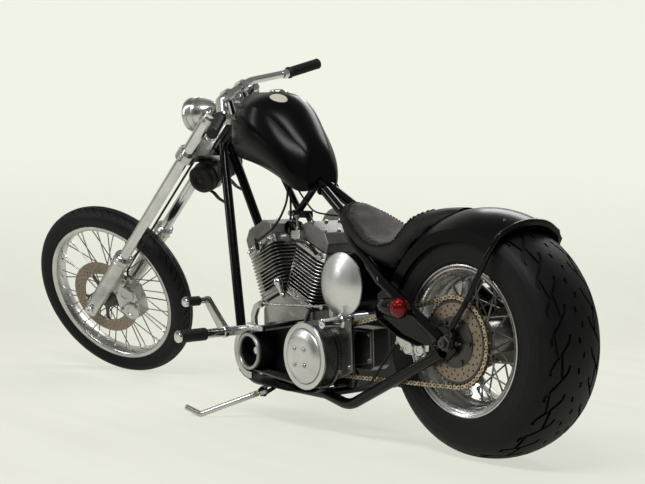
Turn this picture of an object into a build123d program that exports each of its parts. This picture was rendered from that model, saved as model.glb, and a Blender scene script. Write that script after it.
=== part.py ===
from build123d import *
from math import acos, atan2, cos, degrees, hypot, pi, radians, sin, sqrt, tan
import os

# Millimetres and degrees. Each piece is drawn on the bike stood upright and steered straight:
# x forward from the rear axle, y to the rider's left, z up from the floor.

# Driving dimensions
WHEELBASE = 2000
RAKE = 50            # steering axis, back from the vertical
TREE_OFFSET = 55     # the fork legs ahead of the steering axis
LEG_SPACING = 130    # fork leg, from the middle
STEER_REST = 29      # turned left on its stop
LEAN_REST = 3.5      # leaning left on its stand

REAR_TYRE_R = 328
REAR_TYRE_HALF = 114
REAR_FLANGE_R = 207
REAR_SEAT_R = 191
REAR_RIM_HALF = 110
FRONT_TYRE_R = 347
FRONT_TYRE_HALF = 45
FRONT_FLANGE_R = 280
FRONT_SEAT_R = 267
FRONT_RIM_HALF = 34

TUBE_R = 16
RAIL_Z = 127         # lower rails above the floor
AXLE_R = 12.5
RUNNING_GAP = 0.05   # on the radius of each turning fit
PLATE_INNER_Y = 150
PLATE_OUTER_Y = 161

CRANK_X = 840
CRANK_Z = 232
CYLINDER_TILT = 22.5
CLUTCH_Z = 243
PRIMARY_FACE_Y = 215

CHAIN_PITCH = 15.875
CHAIN_Y = 130.5
CHAIN_LINKS = 108
REAR_TEETH = 48
FRONT_TEETH = 24
ROLLER_R = 5.08
LINK_HEIGHT = 15

LEFT_AND_RIGHT = (1, -1)


# Helpers


def tube(points, radius, bend=60):
    """A round bar along straight runs, each corner a bend."""
    path = FilletPolyline(*points, radius=bend) if len(points) > 2 else Line(*points)
    return sweep(Plane(origin=path @ 0, z_dir=path % 0) * Circle(radius), path=path)


def rod(start, end, radius, end_radius=None):
    """A round bar or a cone between two points."""
    a, b = Vector(*start), Vector(*end)
    plane = Plane(origin=a, z_dir=b - a)
    if end_radius is None:
        return extrude(plane * Circle(radius), amount=(b - a).length)
    return plane * Cone(radius, end_radius, (b - a).length, align=(Align.CENTER, Align.CENTER, Align.MIN))


def across(x, z, radius, y0, y1):
    """A round bar lying across the bike."""
    return rod((x, y0, z), (x, y1, z), radius)


def plate(outline, y0, y1):
    """A flat plate facing sideways, from its outline in x and z."""
    face = make_face(Plane.XZ.offset(-y0) * Polyline(*outline, close=True))
    return extrude(face, amount=y1 - y0, dir=(0, 1, 0))


def both_sides(shape):
    """A piece of the left side with its twin on the right."""
    return Compound(children=[shape, mirror(shape, about=Plane.XZ)])


def fused(shapes):
    """One solid from pieces that meet."""
    first, *rest = shapes
    return first.fuse(*rest) if rest else first


def turned(edges, x, z, arc=360, start=0):
    """A ring about an axle across the bike, from its section in y and r."""
    face = make_face(edges)
    ring = revolve(face, axis=Axis.X, revolution_arc=arc)
    upright = Rot(0, 0, 90) * ring
    return Pos(x, 0, z) * Rot(0, start, 0) * upright


def mirrored_section(half):
    """A closed outline in y and r from the points of its left half, bottom to top."""
    return Polyline(*half, *[(-y, r) for y, r in reversed(half)], close=True)


# Steering geometry

COS_RAKE, SIN_RAKE = cos(radians(RAKE)), sin(radians(RAKE))
FRONT_AXLE = Vector(WHEELBASE, 0, FRONT_TYRE_R)
AHEAD = Vector(COS_RAKE, 0, SIN_RAKE)
UP_LEG = Vector(-SIN_RAKE, 0, COS_RAKE)
STEER_FOOT = FRONT_AXLE - AHEAD * TREE_OFFSET


def on_fork(ahead, y, up):
    """A point of the fork: ahead of the steering axis, to the left, and up along it."""
    return STEER_FOOT + AHEAD * ahead + Vector(0, y, 0) + UP_LEG * up


def fork_plane(ahead, y, up):
    """A plane square to the steering axis, its x ahead and its y left."""
    return Plane(origin=on_fork(ahead, y, up), x_dir=AHEAD, z_dir=UP_LEG)


LOWER_TREE = (846, 880)
NECK = (885, 1033)
UPPER_TREE = (1037, 1062)
LEG_TOP = 1072
SLIDER = (-34, 300)

# Where the bike stands: steered to the stop, leaned, and pitched until both tyres touch the floor

STEER_AXIS = Plane(origin=STEER_FOOT, z_dir=UP_LEG)


def steered(angle):
    """The place of what turns with the fork."""
    home = Location(STEER_AXIS)
    return home * Rot(0, 0, angle) * home.inverse()


def lowest_point(place, centre, tyre_profile):
    """The height of a tyre's lowest point once its wheel has been placed."""
    hub = place * Pos(*centre)
    axis = (place * Pos(*(centre + Vector(0, 1, 0)))).position - hub.position
    drop = sqrt(1 - axis.Z ** 2)
    return min(hub.position.Z + y * axis.Z - r * drop for y, r in tyre_profile)


def crown(half, shoulder_r, tyre_r, steps=200):
    """Points of the tread's arc, in y and r."""
    rise = tyre_r - shoulder_r
    arc_r = (half ** 2 + rise ** 2) / (2 * rise)
    ys = [half * (2 * i / steps - 1) for i in range(steps + 1)]
    return [(y, tyre_r - arc_r + sqrt(arc_r ** 2 - y ** 2)) for y in ys]


REAR_SHOULDER = (106, 292)
FRONT_SHOULDER = (38, 322)
REAR_CROWN = crown(*REAR_SHOULDER, REAR_TYRE_R)
FRONT_CROWN = crown(*FRONT_SHOULDER, FRONT_TYRE_R)
REAR_AXLE = Vector(0, 0, REAR_TYRE_R)


def stance(pitch):
    return Rot(-LEAN_REST, 0, 0) * Rot(0, pitch, 0)


def wheel_gap(pitch):
    """How much higher the front tyre's lowest point is than the rear's."""
    front = lowest_point(stance(pitch) * steered(STEER_REST), FRONT_AXLE, FRONT_CROWN)
    return front - lowest_point(stance(pitch), REAR_AXLE, REAR_CROWN)


def level_pitch(low=-3.0, high=3.0):
    """The nose-down pitch, in degrees, that sets both tyres on the floor."""
    for _ in range(40):
        middle = (low + high) / 2
        if wheel_gap(middle) > 0:
            low = middle
        else:
            high = middle
    return low


PITCH_REST = level_pitch()
FLOOR_DROP = lowest_point(stance(PITCH_REST), REAR_AXLE, REAR_CROWN)
BOX_SHIFT = (-1003, -17)     # to the middle of the standing bike's box
ON_FLOOR = Pos(*BOX_SHIFT, -FLOOR_DROP) * stance(PITCH_REST)
PLACE = {
    "frame": ON_FLOOR,
    "fork": ON_FLOOR * steered(STEER_REST),
    "front_wheel": ON_FLOOR * steered(STEER_REST),
    "rear_wheel": ON_FLOOR,
    "stand": ON_FLOOR,
}


# Wheels


def tyre(shoulder, tyre_r, half, flange_r, seat_r, seat_half, wide_r):
    """A tyre's section: bead, sidewalls and tread arcs."""
    y_shoulder, r_shoulder = shoulder
    section = Curve() + [
        Line((-seat_half, seat_r), (seat_half, seat_r)),
        Line((seat_half, seat_r), (seat_half, flange_r)),
        ThreePointArc((seat_half, flange_r), (half, wide_r), (y_shoulder, r_shoulder)),
        ThreePointArc((y_shoulder, r_shoulder), (0, tyre_r), (-y_shoulder, r_shoulder)),
        ThreePointArc((-y_shoulder, r_shoulder), (-half, wide_r), (-seat_half, flange_r)),
        Line((-seat_half, flange_r), (-seat_half, seat_r)),
    ]
    return section


def rim(half, lip, flange_r, seat_r, well_half, well_r):
    """A rim's section: two lips, the tyre's seat and the well."""
    return mirrored_section([
        (well_half, well_r),
        (well_half + 9, seat_r - 9),
        (half - 3, seat_r - 6),
        (half, seat_r + 6),
        (half, flange_r),
        (half - lip, flange_r),
        (half - lip, seat_r),
    ])


def hub(sections, bore):
    """A hub's section from its steps of y and r, over a bore."""
    points = [(sections[0][0], bore)]
    for y0, y1, r in sections:
        points += [(y0, r), (y1, r)]
    points.append((sections[-1][1], bore))
    return Polyline(*points, close=True)


def spokes(centre, count, hub_r, flange_y, rim_r, rim_y, lead, radius=2.2):
    """Laced spokes: each leaves its flange aslant, and neighbours cross."""
    bars = []
    for side in LEFT_AND_RIGHT:
        for i in range(count):
            at_rim = radians(360 * (i + 0.25 * side) / count)
            at_hub = at_rim + radians(lead) * (1 if i % 2 else -1)
            y_hub = side * (flange_y + (2.5 if i % 2 else -2.5))
            start = centre + Vector(hub_r * cos(at_hub), y_hub, hub_r * sin(at_hub))
            end = centre + Vector(rim_r * cos(at_rim), side * rim_y, rim_r * sin(at_rim))
            plane = Plane(origin=start, z_dir=end - start)
            bars.append(extrude(plane * RegularPolygon(radius, 6), amount=(end - start).length))
    return bars


REAR_HUB = [
    # y0, y1, radius
    (-140, -100, 24),
    (-100, -72, 42),
    (-72, -62, 78),
    (-62, 62, 44),
    (62, 72, 78),
    (72, 120, 52),
    (120, 126, 66),
    (126, 140, 24),
]
FRONT_HUB = [
    (-92, -50, 18),
    (-50, -36, 30),
    (-36, -29, 52),
    (-29, 29, 26),
    (29, 36, 52),
    (36, 56, 34),
    (56, 92, 18),
]
FRONT_DISC_Y = (57, 62)
FRONT_DISC_R = (92, 146)
ROTOR_Y = (CHAIN_Y - 3.6, CHAIN_Y + 3.6)


def rear_wheel():
    x, z = 0, REAR_TYRE_R
    rubber = turned(tyre(REAR_SHOULDER, REAR_TYRE_R, REAR_TYRE_HALF, REAR_FLANGE_R,
                         REAR_SEAT_R, REAR_RIM_HALF - 4, 258), x, z)
    metal = turned(rim(REAR_RIM_HALF, 4, REAR_FLANGE_R, REAR_SEAT_R, 48, 168), x, z)
    core = turned(hub(REAR_HUB, AXLE_R + RUNNING_GAP), x, z)
    laced = spokes(REAR_AXLE, 24, 71, 67, 172, 24, 32, radius=2.6)
    core = core.fuse(*laced) - metal
    return {"rear_tyre": rubber, "rear_rim": metal, "rear_hub_and_spokes": core,
            "rear_sprocket_rotor": rear_sprocket()}


def sprocket_radius(teeth):
    return CHAIN_PITCH / (2 * sin(pi / teeth))


REAR_PITCH_R = sprocket_radius(REAR_TEETH)
FRONT_PITCH_R = sprocket_radius(FRONT_TEETH)
TOOTH_TIP_CUT = 5.6      # below the pitch circle, clear of the rollers at any angle
TOOTH_DEPTH = 5.0


def toothed_disc(teeth, centre, y0, y1, bore):
    """A sprocket whose teeth keep clear of the standing chain's rollers."""
    tip_r = sprocket_radius(teeth) - TOOTH_TIP_CUT
    root_r = tip_r - TOOTH_DEPTH
    step = 2 * pi / teeth
    outline = []
    for i in range(teeth):
        for share, r in ((-0.3, root_r), (-0.1, tip_r), (0.1, tip_r), (0.3, root_r)):
            angle = (i + share) * step
            outline.append((centre.X + r * cos(angle), centre.Z + r * sin(angle)))
    return plate(outline, y0, y1) - across(centre.X, centre.Z, bore, y0 - 1, y1 + 1)


def rear_sprocket():
    """Sprocket and brake rotor in one: teeth round a drilled band on a spider."""
    ring = toothed_disc(REAR_TEETH, REAR_AXLE, *ROTOR_Y, 66)
    windows = []
    for i in range(6):
        angle = radians(60 * i + 30)
        x, z = 76 * cos(angle), REAR_TYRE_R + 76 * sin(angle)
        windows.append(across(x, z, 7, ROTOR_Y[0] - 1, ROTOR_Y[1] + 1))
    ring = ring - windows
    carrier = across(0, REAR_TYRE_R, 84, ROTOR_Y[1], ROTOR_Y[1] + 3)
    carrier -= across(0, REAR_TYRE_R, 24, ROTOR_Y[0], ROTOR_Y[1] + 4)
    boss = across(0, REAR_TYRE_R, 66, 126, ROTOR_Y[1]) - across(0, REAR_TYRE_R, 24, 120, ROTOR_Y[1] + 1)
    return fused([ring, boss, carrier])


def front_wheel():
    x, z = FRONT_AXLE.X, FRONT_AXLE.Z
    rubber = turned(tyre(FRONT_SHOULDER, FRONT_TYRE_R, FRONT_TYRE_HALF, FRONT_FLANGE_R,
                         FRONT_SEAT_R, FRONT_RIM_HALF - 3, 308), x, z)
    metal = turned(rim(FRONT_RIM_HALF, 3, FRONT_FLANGE_R, FRONT_SEAT_R, 12, 258), x, z)
    core = turned(hub(FRONT_HUB, AXLE_R - 2.5 + RUNNING_GAP), x, z)
    laced = spokes(FRONT_AXLE, 20, 47, 32.5, 261, 7, 42)
    core = core.fuse(*laced) - metal
    disc = across(x, z, FRONT_DISC_R[1], *FRONT_DISC_Y)
    disc -= across(x, z, FRONT_DISC_R[0], FRONT_DISC_Y[0] - 1, FRONT_DISC_Y[1] + 1)
    spider = across(x, z, FRONT_DISC_R[0] + 2, FRONT_DISC_Y[0] - 1, FRONT_DISC_Y[0] + 2)
    spider -= across(x, z, 18, FRONT_DISC_Y[0] - 2, FRONT_DISC_Y[1])
    for i in range(5):
        angle = radians(72 * i)
        spider -= across(x + 68 * cos(angle), z + 68 * sin(angle), 17, 50, 70)
    return {"front_tyre": rubber, "front_rim": metal, "front_hub_and_spokes": core,
            "front_brake_disc": fused([disc, spider])}


# Fork


def fork_rod(ahead, y, up0, up1, radius, end_radius=None):
    """A round bar along the fork."""
    return rod(on_fork(ahead, y, up0), on_fork(ahead, y, up1), radius, end_radius)


def tree(up0, up1, stem_r, clamp_r):
    """A triple tree: two leg clamps and the stem's eye in one plate."""
    base = fork_plane(0, 0, up0)
    y = LEG_SPACING
    web = Polyline((TREE_OFFSET - 20, y), (TREE_OFFSET + 20, y - 8), (TREE_OFFSET + 12, 40),
                   (TREE_OFFSET + 12, -40), (TREE_OFFSET + 20, 8 - y), (TREE_OFFSET - 20, -y),
                   (-26, -22), (-26, 22), close=True)
    body = extrude(base * make_face(web), amount=up1 - up0, dir=UP_LEG)
    eyes = [fork_rod(0, 0, up0, up1, stem_r)]
    eyes += [fork_rod(TREE_OFFSET, side * y, up0, up1, clamp_r) for side in LEFT_AND_RIGHT]
    return fused([body] + eyes)


def forks():
    legs = [fork_rod(TREE_OFFSET, side * LEG_SPACING, SLIDER[1], LEG_TOP, 20.5)
            for side in LEFT_AND_RIGHT]
    tubes = Compound(children=legs)
    sliders = []
    for side in LEFT_AND_RIGHT:
        y = side * LEG_SPACING
        body = [
            fork_rod(TREE_OFFSET, y, SLIDER[0], 20, 27),
            fork_rod(TREE_OFFSET, y, 20, 150, 27, 30),
            fork_rod(TREE_OFFSET, y, 150, SLIDER[1] - 30, 30),
            fork_rod(TREE_OFFSET, y, SLIDER[1] - 30, SLIDER[1], 33),
        ]
        bore = across(WHEELBASE, FRONT_TYRE_R, AXLE_R - 2.5, y - 40, y + 40)
        sliders.append(fused(body) - bore)
    axle = across(WHEELBASE, FRONT_TYRE_R, AXLE_R - 2.5, -LEG_SPACING - 34, LEG_SPACING + 34)
    lower = tree(*LOWER_TREE, 26, 32)
    upper = tree(*UPPER_TREE, 26, 29)
    bored = [fork_rod(TREE_OFFSET, side * LEG_SPACING, LOWER_TREE[0] - 1, LEG_TOP, 20.5)
             for side in LEFT_AND_RIGHT]
    stem = fork_rod(0, 0, LOWER_TREE[1], UPPER_TREE[0], 12.5)
    nut = fork_rod(0, 0, UPPER_TREE[1], UPPER_TREE[1] + 14, 17)
    return {
        "fork_tubes": tubes,
        "fork_sliders": Compound(children=sliders),
        "front_axle": axle,
        "triple_trees": fused([lower, upper, stem, nut]) - bored,
    }


BAR_R = 12.7
BAR_HALF = [
    # x, y, z of the left half, from the middle
    (1164, 0, 1062),
    (1158, 95, 1066),
    (1083, 209, 1044),
    (1035, 333, 1030),
]
GRIP_LENGTH = 128
RISER_Y = 45


def handlebar():
    left = BAR_HALF[1:]
    right = [(x, -y, z) for x, y, z in reversed(left)]
    bar = tube(right + left, BAR_R, 55)
    middle_x, _, middle_z = BAR_HALF[0]
    risers = []
    top = on_fork(0, 0, UPPER_TREE[1])
    for side in LEFT_AND_RIGHT:
        y = side * RISER_Y
        foot = on_fork(18, y, UPPER_TREE[1])
        head = Vector(middle_x - 3, y, middle_z + 2)
        riser = rod(foot, head, 14) - tree(*UPPER_TREE, 26, 29)
        clamp = across(head.X, head.Z, 21, y - 14, y + 14)
        risers.append(fused([riser, clamp]))
    grips = []
    for side in LEFT_AND_RIGHT:
        end = Vector(BAR_HALF[3][0], side * BAR_HALF[3][1], BAR_HALF[3][2])
        inner = Vector(BAR_HALF[2][0], side * BAR_HALF[2][1], BAR_HALF[2][2])
        along = (end - inner).normalized()
        grips.append(rod(end - along * GRIP_LENGTH, end + along * 4, 18) - bar)
    return {"handlebar": fused([bar, *risers]), "grips": Compound(children=grips)}


HEADLAMP = (1335, 1000)
HEADLAMP_R = 58
ROLL_CENTRE = (-26, 794)   # ahead and up, on the fork
ROLL_R = 50
ROLL_HALF = 105


def headlamp():
    x, z = HEADLAMP
    shell = [(x - 92, 0), (x - 88, 16), (x - 62, 38), (x - 20, HEADLAMP_R - 4), (x + 14, HEADLAMP_R),
             (x + 30, HEADLAMP_R), (x + 30, HEADLAMP_R - 5), (x + 38, HEADLAMP_R - 16), (x + 42, 0)]
    face = make_face(Polyline(*shell, close=True))
    lamp = Pos(0, 0, z) * revolve(face, axis=Axis.X)
    foot = on_fork(TREE_OFFSET - 4, 0, LOWER_TREE[1] - 2)
    stalk = rod(foot, Vector(x, 0, z - HEADLAMP_R + 12), 9) - tree(*LOWER_TREE, 26, 32)
    return {"headlamp": fused([lamp, stalk])}


def tool_roll():
    ahead, up = ROLL_CENTRE
    centre = on_fork(ahead, 0, up)
    return {"tool_roll": across(centre.X, centre.Z, ROLL_R, -ROLL_HALF, ROLL_HALF)}


FRONT_CALIPER = (-116, -10)    # behind the axle and below it
CALIPER_SLOT = 6


def front_caliper():
    x, z = WHEELBASE + FRONT_CALIPER[0], FRONT_TYRE_R + FRONT_CALIPER[1]
    outline = [(x - 62, z + 50), (x - 40, z + 70), (x + 30, z + 48), (x + 34, z - 36),
               (x - 20, z - 74), (x - 56, z - 60), (x - 66, z)]
    block = plate(outline, 41, 92)
    slot = across(WHEELBASE, FRONT_TYRE_R, FRONT_DISC_R[1] + CALIPER_SLOT,
                  FRONT_DISC_Y[0] - CALIPER_SLOT, FRONT_DISC_Y[1] + CALIPER_SLOT)
    legs = [fork_rod(TREE_OFFSET, LEG_SPACING, *SLIDER, 30.3)]
    arm = plate([(x - 40, z + 74), (x - 58, z + 96), (x - 10, z + 132), (x + 40, z + 96), (x + 22, z + 44)], 84, 106)
    return {"front_caliper": fused([block - slot, arm]) - legs}


# Frame

BACKBONE = [(1212, 0, 922), (700, 0, 735)]
CRADLE = [(1256, 14, 884), (978, 132, RAIL_Z), (540, 148, RAIL_Z), (425, 154, 106), (20, 160, 300)]
SEAT_RAIL = [(712, 16, 738), (585, 36, 662), (468, 92, 573), (272, 158, 480), (24, 162, 336)]
RAIL_CROSS_X = (930, 700, 548)
CROSS_HALF = 138
TANK_MOUNT = [((749, 0, 752), (852, 0, 662)), ((985, 0, 838), (852, 0, 662))]


def neck():
    return fork_rod(0, 0, *NECK, 28)


def axle_plate():
    outline = [(60, 298), (72, 322), (52, 366), (10, 372), (-26, 352), (-30, 306), (0, 282)]
    face = plate(outline, PLATE_INNER_Y, PLATE_OUTER_Y)
    return face - across(0, REAR_TYRE_R, AXLE_R, PLATE_INNER_Y - 1, PLATE_OUTER_Y + 1)


def frame_pieces():
    stem_bore = fork_rod(0, 0, NECK[0] - 1, NECK[1] + 1, 12.5 + RUNNING_GAP)
    spine = tube(BACKBONE, 19)
    mount_v = [rod(top, foot, 11) for top, foot in TANK_MOUNT]
    backbone = fused([neck(), spine, *mount_v]) - stem_bore
    plates = axle_plate()
    left_cradle = tube(CRADLE, TUBE_R, 110)
    left_cradle = left_cradle - neck() - plates
    crosses = [across(x, RAIL_Z, 12, -CROSS_HALF, CROSS_HALF) for x in RAIL_CROSS_X]
    right_cradle = mirror(left_cradle, about=Plane.XZ)
    seat_rail = tube(SEAT_RAIL, TUBE_R, 55) - across(0, REAR_TYRE_R, AXLE_R, 100, 200)
    rails = fused([seat_rail, mirror(seat_rail, about=Plane.XZ), across(392, 518, 11, -105, 105)])
    gusset = plate([(262, 455), (40, 346), (46, 320), (108, 311), (191, 332), (274, 373), (284, 440)],
                   PLATE_OUTER_Y - 4, PLATE_OUTER_Y) - left_cradle
    rear = fused([rails - spine, plates, gusset, *[mirror(p, about=Plane.XZ) for p in (plates, gusset)]])
    return {
        "frame_backbone": backbone,
        "frame_cradle": fused([left_cradle, right_cradle, *crosses, stand_bracket()]),
        "frame_rear_rails": rear,
    }


AXLE_NUT = 15            # thickness
AXLE_STUB = 10           # how far the axle stands out of its nut


def rear_axle():
    """The axle, through both plates and out of its nuts."""
    half = PLATE_OUTER_Y + AXLE_NUT + AXLE_STUB
    shaft = across(0, REAR_TYRE_R, AXLE_R, -half, half)
    nuts = [across(0, REAR_TYRE_R, 19, side * PLATE_OUTER_Y, side * (PLATE_OUTER_Y + AXLE_NUT))
            for side in LEFT_AND_RIGHT]
    return {"rear_axle": fused([shaft] + nuts)}


# Fuel tank

TANK_SECTIONS = [
    # x, bottom z, bottom half width, widest z, half width, shoulder z, shoulder half width, top z
    (1114, 862, 46, 924, 62, 974, 46, 1004),
    (1086, 842, 76, 934, 92, 992, 72, 1043),
    (1030, 828, 82, 948, 113, 1001, 92, 1048),
    (950, 807, 80, 938, 128, 998, 108, 1046),
    (860, 773, 78, 888, 120, 952, 92, 1018),
    (780, 734, 77, 815, 98, 880, 68, 928),
    (746, 725, 66, 772, 77, 844, 52, 878),
    (730, 734, 50, 772, 56, 812, 40, 834),
]


def ring_section(bottom_z, bottom_half, wide_z, half, shoulder_z, shoulder_half, top_z):
    """A closed outline across the bike: flat foot, bowed sides and a domed top."""
    left = ThreePointArc((bottom_half, bottom_z), (half, wide_z), (shoulder_half, shoulder_z))
    roof = ThreePointArc((shoulder_half, shoulder_z), (0, top_z), (-shoulder_half, shoulder_z))
    right = ThreePointArc((-shoulder_half, shoulder_z), (-half, wide_z), (-bottom_half, bottom_z))
    floor = Line((-bottom_half, bottom_z), (bottom_half, bottom_z))
    return make_face(Curve() + [left, roof, right, floor])


def lofted(sections, ruled=False):
    """A body through its sections, from front to back."""
    faces = [Plane(origin=(x, 0, 0), x_dir=(0, 1, 0), z_dir=(1, 0, 0)) * ring_section(*rest)
             for x, *rest in sections]
    return loft(faces, ruled=ruled)


TANK_CAP = (950, 1047)


def fuel_tank():
    body = lofted(TANK_SECTIONS)
    tunnel = tube([(1260, 0, 939.5), (640, 0, 713)], 24)
    below = plate([(1260, 939.5), (640, 713), (640, 560), (1260, 560)], -24, 24)
    cap = rod((TANK_CAP[0], 0, TANK_CAP[1] - 24), (TANK_CAP[0], 0, TANK_CAP[1]), 30)
    rails = tube(SEAT_RAIL, TUBE_R + 2, 55)
    mount_v = [rod(top, foot, 13) for top, foot in TANK_MOUNT]
    tank = body - tunnel - below - rails - mirror(rails, about=Plane.XZ) - mount_v
    return {"fuel_tank": tank - cap, "filler_cap": cap}


# Seat and rear fender

FENDER_R = 356
FENDER_HALF = 126
FENDER_EDGE_R = 268
FENDER_SHOULDER_R = 302
FENDER_SKIN = 4
FENDER_ARC = 91
FENDER_BEHIND = 27      # degrees, from the top to the rear edge


def fender_section(skin):
    """Half arch in y and r, moved in by the skin."""
    half, edge = FENDER_HALF - skin, FENDER_SHOULDER_R - skin / 2
    return half, edge, FENDER_R - skin


def fender_face(outer=0, inner=FENDER_SKIN):
    out_half, out_edge, out_top = fender_section(outer)
    in_half, in_edge, in_top = fender_section(inner)
    return Curve() + [
        Line((-out_half, FENDER_EDGE_R), (-out_half, out_edge)),
        ThreePointArc((-out_half, out_edge), (0, out_top), (out_half, out_edge)),
        Line((out_half, out_edge), (out_half, FENDER_EDGE_R)),
        Line((out_half, FENDER_EDGE_R), (in_half, FENDER_EDGE_R)),
        Line((in_half, FENDER_EDGE_R), (in_half, in_edge)),
        ThreePointArc((in_half, in_edge), (0, in_top), (-in_half, in_edge)),
        Line((-in_half, in_edge), (-in_half, FENDER_EDGE_R)),
        Line((-in_half, FENDER_EDGE_R), (-out_half, FENDER_EDGE_R)),
    ]


def fender_block():
    """The fender's outer form, filled, to cut its neighbours to."""
    half, edge, top = fender_section(0)
    face = Curve() + [
        Line((-half, 150), (-half, edge)),
        ThreePointArc((-half, edge), (0, top), (half, edge)),
        Line((half, edge), (half, 150)),
        Line((half, 150), (-half, 150)),
    ]
    return turned(face, 0, REAR_TYRE_R)


SEAT_SECTIONS = [
    (588, 668, 22, 676, 34, 684, 24, 688),
    (556, 642, 50, 656, 66, 676, 50, 687),
    (515, 612, 74, 630, 94, 652, 82, 660),
    (465, 586, 92, 602, 113, 624, 101, 630),
    (405, 556, 106, 570, 127, 590, 117, 593),
    (340, 530, 114, 548, 130, 574, 119, 575),
    (272, 512, 112, 542, 128, 585, 115, 587),
    (222, 528, 108, 586, 120, 650, 86, 664),
    (178, 565, 96, 620, 108, 666, 66, 678),
    (120, 612, 62, 648, 70, 676, 44, 682),
    (84, 645, 34, 664, 40, 678, 26, 682),
]


def seat():
    cushion = lofted(SEAT_SECTIONS, ruled=True)
    rails = tube(SEAT_RAIL, TUBE_R, 55)
    block = fender_block()
    return {"seat": cushion - block - rails - mirror(rails, about=Plane.XZ)}


def fender():
    shell = turned(fender_face(), 0, REAR_TYRE_R, arc=FENDER_ARC, start=90 - FENDER_BEHIND)
    rails = tube(SEAT_RAIL, TUBE_R, 55)
    shell = shell - rails - mirror(rails, about=Plane.XZ)
    bead = turned(fender_face(-FENDER_BEAD, FENDER_SKIN - 1), 0, REAR_TYRE_R, arc=FENDER_BEAD_ARC,
                  start=90 - FENDER_BEHIND - FENDER_BEAD_ARC / 2)
    return {"rear_fender": fused([shell, bead, *fender_strut()])}


# Oil tank

OIL_TANK = (452, 458)
OIL_TANK_R = 90
OIL_TANK_HALF = 150
OIL_TANK_WALL = 4
OIL_CAP_RISE = 26


def oil_tank():
    x, z = OIL_TANK
    drum = across(x, z, OIL_TANK_R, -OIL_TANK_HALF, OIL_TANK_HALF)
    drum -= across(x, z, OIL_TANK_R - OIL_TANK_WALL, -OIL_TANK_HALF, OIL_TANK_HALF)
    rails = tube(SEAT_RAIL, TUBE_R, 55)
    drum = drum - rails - mirror(rails, about=Plane.XZ) - across(392, 518, 11, -105, 105)
    lip_r, rim_y = OIL_TANK_R + 2, OIL_TANK_HALF + 6
    ball_r = (lip_r ** 2 + OIL_CAP_RISE ** 2) / (2 * OIL_CAP_RISE)
    ball = Pos(x, rim_y + OIL_CAP_RISE - ball_r, z) * Sphere(ball_r)
    dome = ball & across(x, z, lip_r, rim_y, rim_y + OIL_CAP_RISE + 1)
    cap = fused([dome, across(x, z, lip_r, OIL_TANK_HALF, rim_y)])
    return {"oil_tank": drum, "oil_tank_caps": both_sides(cap)}


# Engine

CASE_R = 112
CASE_HALF = 78
BARREL = (160, 262)
HEAD = (262, 342)
ROCKER = (342, 418)
FIN_HALF = 76
FIN_PITCH = 11.5
PUSHROD_Y = -86
PUSHROD_R = 7


def on_cylinder(lean, along, y=0, up=0):
    """A point by a cylinder's axis: up from the crank and along the bike."""
    a = radians(lean)
    return Vector(CRANK_X + up * sin(a) + along * cos(a), y, CRANK_Z + up * cos(a) - along * sin(a))


def slab(lean, up0, up1, half_x, half_y, corner):
    """A rounded block square to a cylinder's axis."""
    a = radians(lean)
    plane = Plane(origin=on_cylinder(lean, 0, 0, up0), x_dir=(cos(a), 0, -sin(a)), z_dir=(sin(a), 0, cos(a)))
    return extrude(plane * RectangleRounded(2 * half_x, 2 * half_y, corner), amount=up1 - up0)


def half_space(lean):
    """What lies on the other cylinder's side of the V."""
    side = 1 if lean > 0 else -1
    return Pos(CRANK_X + side * 1.5, 0, CRANK_Z) * Box(
        400, 400, 1000, align=(Align.MAX if side > 0 else Align.MIN, Align.CENTER, Align.MIN))


def cylinder(lean):
    core = slab(lean, BARREL[0], HEAD[1], 56, 56, 50)
    fins = []
    up = BARREL[0] + 8
    while up < HEAD[1] - 16:
        fins.append(slab(lean, up, up + 5, FIN_HALF, FIN_HALF + 2, 26))
        up += FIN_PITCH
    return core.fuse(*fins, exhaust_port(lean)) - half_space(lean)


def exhaust_port(lean):
    outward = 1 if lean > 0 else -1
    return rod(on_cylinder(lean, 30 * outward, PORT_Y, PORT_UP),
               on_cylinder(lean, PORT_OUT * outward, PORT_Y, PORT_UP), 27)


ROCKER_OUTLINE = [
    # along the bike from the cylinder's axis, and up it
    (-72, 350), (-74, 392), (-42, 416), (42, 416), (74, 392), (72, 350),
]


def rocker_box(lean):
    lower = slab(lean, ROCKER[0] - 14, ROCKER[0] + 16, 80, 72, 20)
    outline = [on_cylinder(lean, along, 0, up) for along, up in ROCKER_OUTLINE]
    upper = plate([(point.X, point.Z) for point in outline], -66, 66)
    foot = rod(on_cylinder(lean, -50, PUSHROD_Y, ROCKER[0] + 4), on_cylinder(lean, 50, PUSHROD_Y, ROCKER[0] + 4), 18)
    return fused([lower, upper, foot])


def engine():
    front, rear = CYLINDER_TILT, -CYLINDER_TILT
    drum = across(CRANK_X, CRANK_Z, CASE_R, -CASE_HALF, CASE_HALF)
    deck = plate([(CRANK_X - 118, 262), (CRANK_X - 100, 340), (CRANK_X + 100, 340),
                  (CRANK_X + 118, 262), (CRANK_X + 100, 160), (CRANK_X - 100, 160)], -62, 62)
    feet = plate([(CRANK_X - 118, RAIL_Z + 14), (CRANK_X + 118, RAIL_Z + 14), (CRANK_X + 100, 180),
                  (CRANK_X - 100, 180)], -90, 90)
    alternator = across(CRANK_X, CRANK_Z, 84, CASE_HALF, 118)
    nose = across(CRANK_X + 6, CRANK_Z + 10, 78, -106, -CASE_HALF)
    seats = [slab(lean, 0, BARREL[0], 72, 68, 20) for lean in (front, rear)]
    above = [slab(lean, BARREL[0], ROCKER[1], 90, 90, 20) for lean in (front, rear)]
    rails = [across(x, RAIL_Z, 12, -CROSS_HALF, CROSS_HALF) for x in RAIL_CROSS_X]
    cases = fused([drum, deck, feet, alternator, nose, *seats]) - above - rails
    barrels = [cylinder(front), cylinder(rear)]
    boxes = [rocker_box(front), rocker_box(rear)]
    barrels = [b - box for b, box in zip(barrels, boxes)]
    return {
        "engine_cases": cases,
        "engine_cylinders": Compound(children=barrels),
    }


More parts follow.
